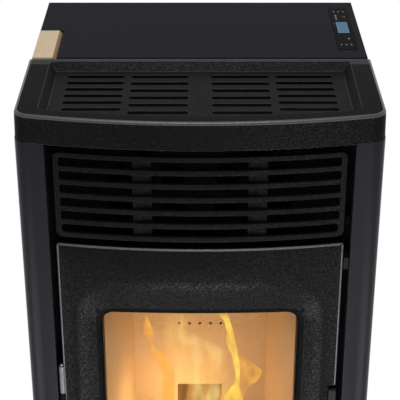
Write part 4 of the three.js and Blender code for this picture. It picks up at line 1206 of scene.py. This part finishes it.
add_veil("left_flame", (
    (335, -34, -16), (380, -55, -31), (422, -63, -39), (448, -64, -39), (471, -65, -38), (487, -68, -41),
    (500, -75, -45), (513, -81, -53), (524, -80, -69), (533, -79, -76), (544, -86, -74), (555, -91, -73),
    (577, -88, -80), (589, -88, -85), (606, -90, -88),
), flame_finish("orange_flame", (0.9, 0.34, 0.04), (1.0, 0.5, 0.08), 0.42, 0.2))
add_veil("right_flame", (
    (335, 6, 38), (380, 27, 71), (422, 37, 72), (434, 39, 69), (448, 49, 66), (461, 57, 65), (482, 56, 65),
    (500, 52, 64), (513, 50, 61), (526, 43, 60), (539, 40, 57), (552, 42, 55), (564, 40, 52),
    (577, 37, 48), (589, 26, 45), (606, 16, 34),
), flame_finish("yellow_flame", (1.0, 0.5, 0.06), (1.0, 0.7, 0.13), 0.75, 0.16))
add_veil("side_flame", (
    (405, 64, 70), (422, 67, 71), (434, 66, 74), (448, 65, 81), (461, 65, 94), (471, 65, 99), (482, 64, 101),
    (495, 63, 87), (505, 61, 76), (516, 60, 62),
), flame_finish("amber_flame", (0.75, 0.32, 0.05), (0.9, 0.45, 0.08), 0.4, 0.1))
add_veil("middle_glow", (
    (340, -34, 34), (380, -40, 50), (422, -39, 60), (456, -39, 57), (487, -47, 52), (513, -64, 48),
    (539, -64, -4), (564, -59, -17), (590, -52, -30),
), flame_finish("pale_flame", (1.0, 0.56, 0.13), (1.0, 0.72, 0.26), 0.3, 0.3), 0.02)


def ember_finish():
    finish = Finish("glowing_pellets")
    ash = finish.noise(160, 4, 0.65)
    glow = finish.noise(55, 3, 0.6).above(0.38, 0.62)
    heat = finish.mix(glow, (0.08, 0.008, 0.0), (1.0, 0.28, 0.03))
    return finish.surface(
        Base_Color=finish.mix(ash, (0.02, 0.015, 0.012), (0.16, 0.12, 0.1)), Roughness=0.9,
        Emission_Color=heat, Emission_Strength=0.9, Normal=finish.bump(ash, 0.4, 0.0006),
    )


def make_pellet_bed():
    """Pellets thrown into the pot, each a short pressed rod with blunt ends."""
    pellets = []
    for _ in range(PELLETS):
        length = random.uniform(*PELLET_LENGTHS)
        bpy.ops.object.select_all(action="DESELECT")
        bpy.ops.mesh.primitive_cylinder_add(
            vertices=10, radius=PELLET_RADIUS, depth=length,
            location=(random.uniform(*BED_X), random.uniform(*BED_Y), random.uniform(*BED_Z)),
            rotation=(math.radians(random.uniform(70, 110)), 0, random.uniform(0, math.pi)),
        )
        pellets.append(bpy.context.object)
    bpy.ops.object.select_all(action="DESELECT")
    for pellet in pellets:
        pellet.select_set(True)
    bpy.ops.object.transform_apply(location=True, rotation=True, scale=True)
    bed = gather(pellets)
    modify(bed, "BEVEL", width=0.0006, segments=2, limit_method="ANGLE", angle_limit=math.radians(50))
    bpy.ops.object.shade_smooth_by_angle(angle=math.radians(50))
    add_to("burn_pot", bed, "pellet_bed", ember_finish())


random.seed(7)
make_pellet_bed()


FIRELIGHT = (1.0, 0.75, 0.42)


def fire_lamp(name, place, watts, radius):
    """A small warm lamp that only lights and is never seen."""
    data = bpy.data.lights.new(name, "POINT")
    data.energy = watts
    data.color = FIRELIGHT
    data.shadow_soft_size = radius
    light = bpy.data.objects.new(name, data)
    light.location = place
    light.visible_camera = False
    light.visible_glossy = False
    light.visible_transmission = False
    scene.collection.objects.link(light)


fire_lamp("low_fire_glow", (-0.035, -0.11, 0.4), 0.68, 0.03)
fire_lamp("high_fire_glow", (-0.01, -0.12, 0.54), 0.06, 0.04)
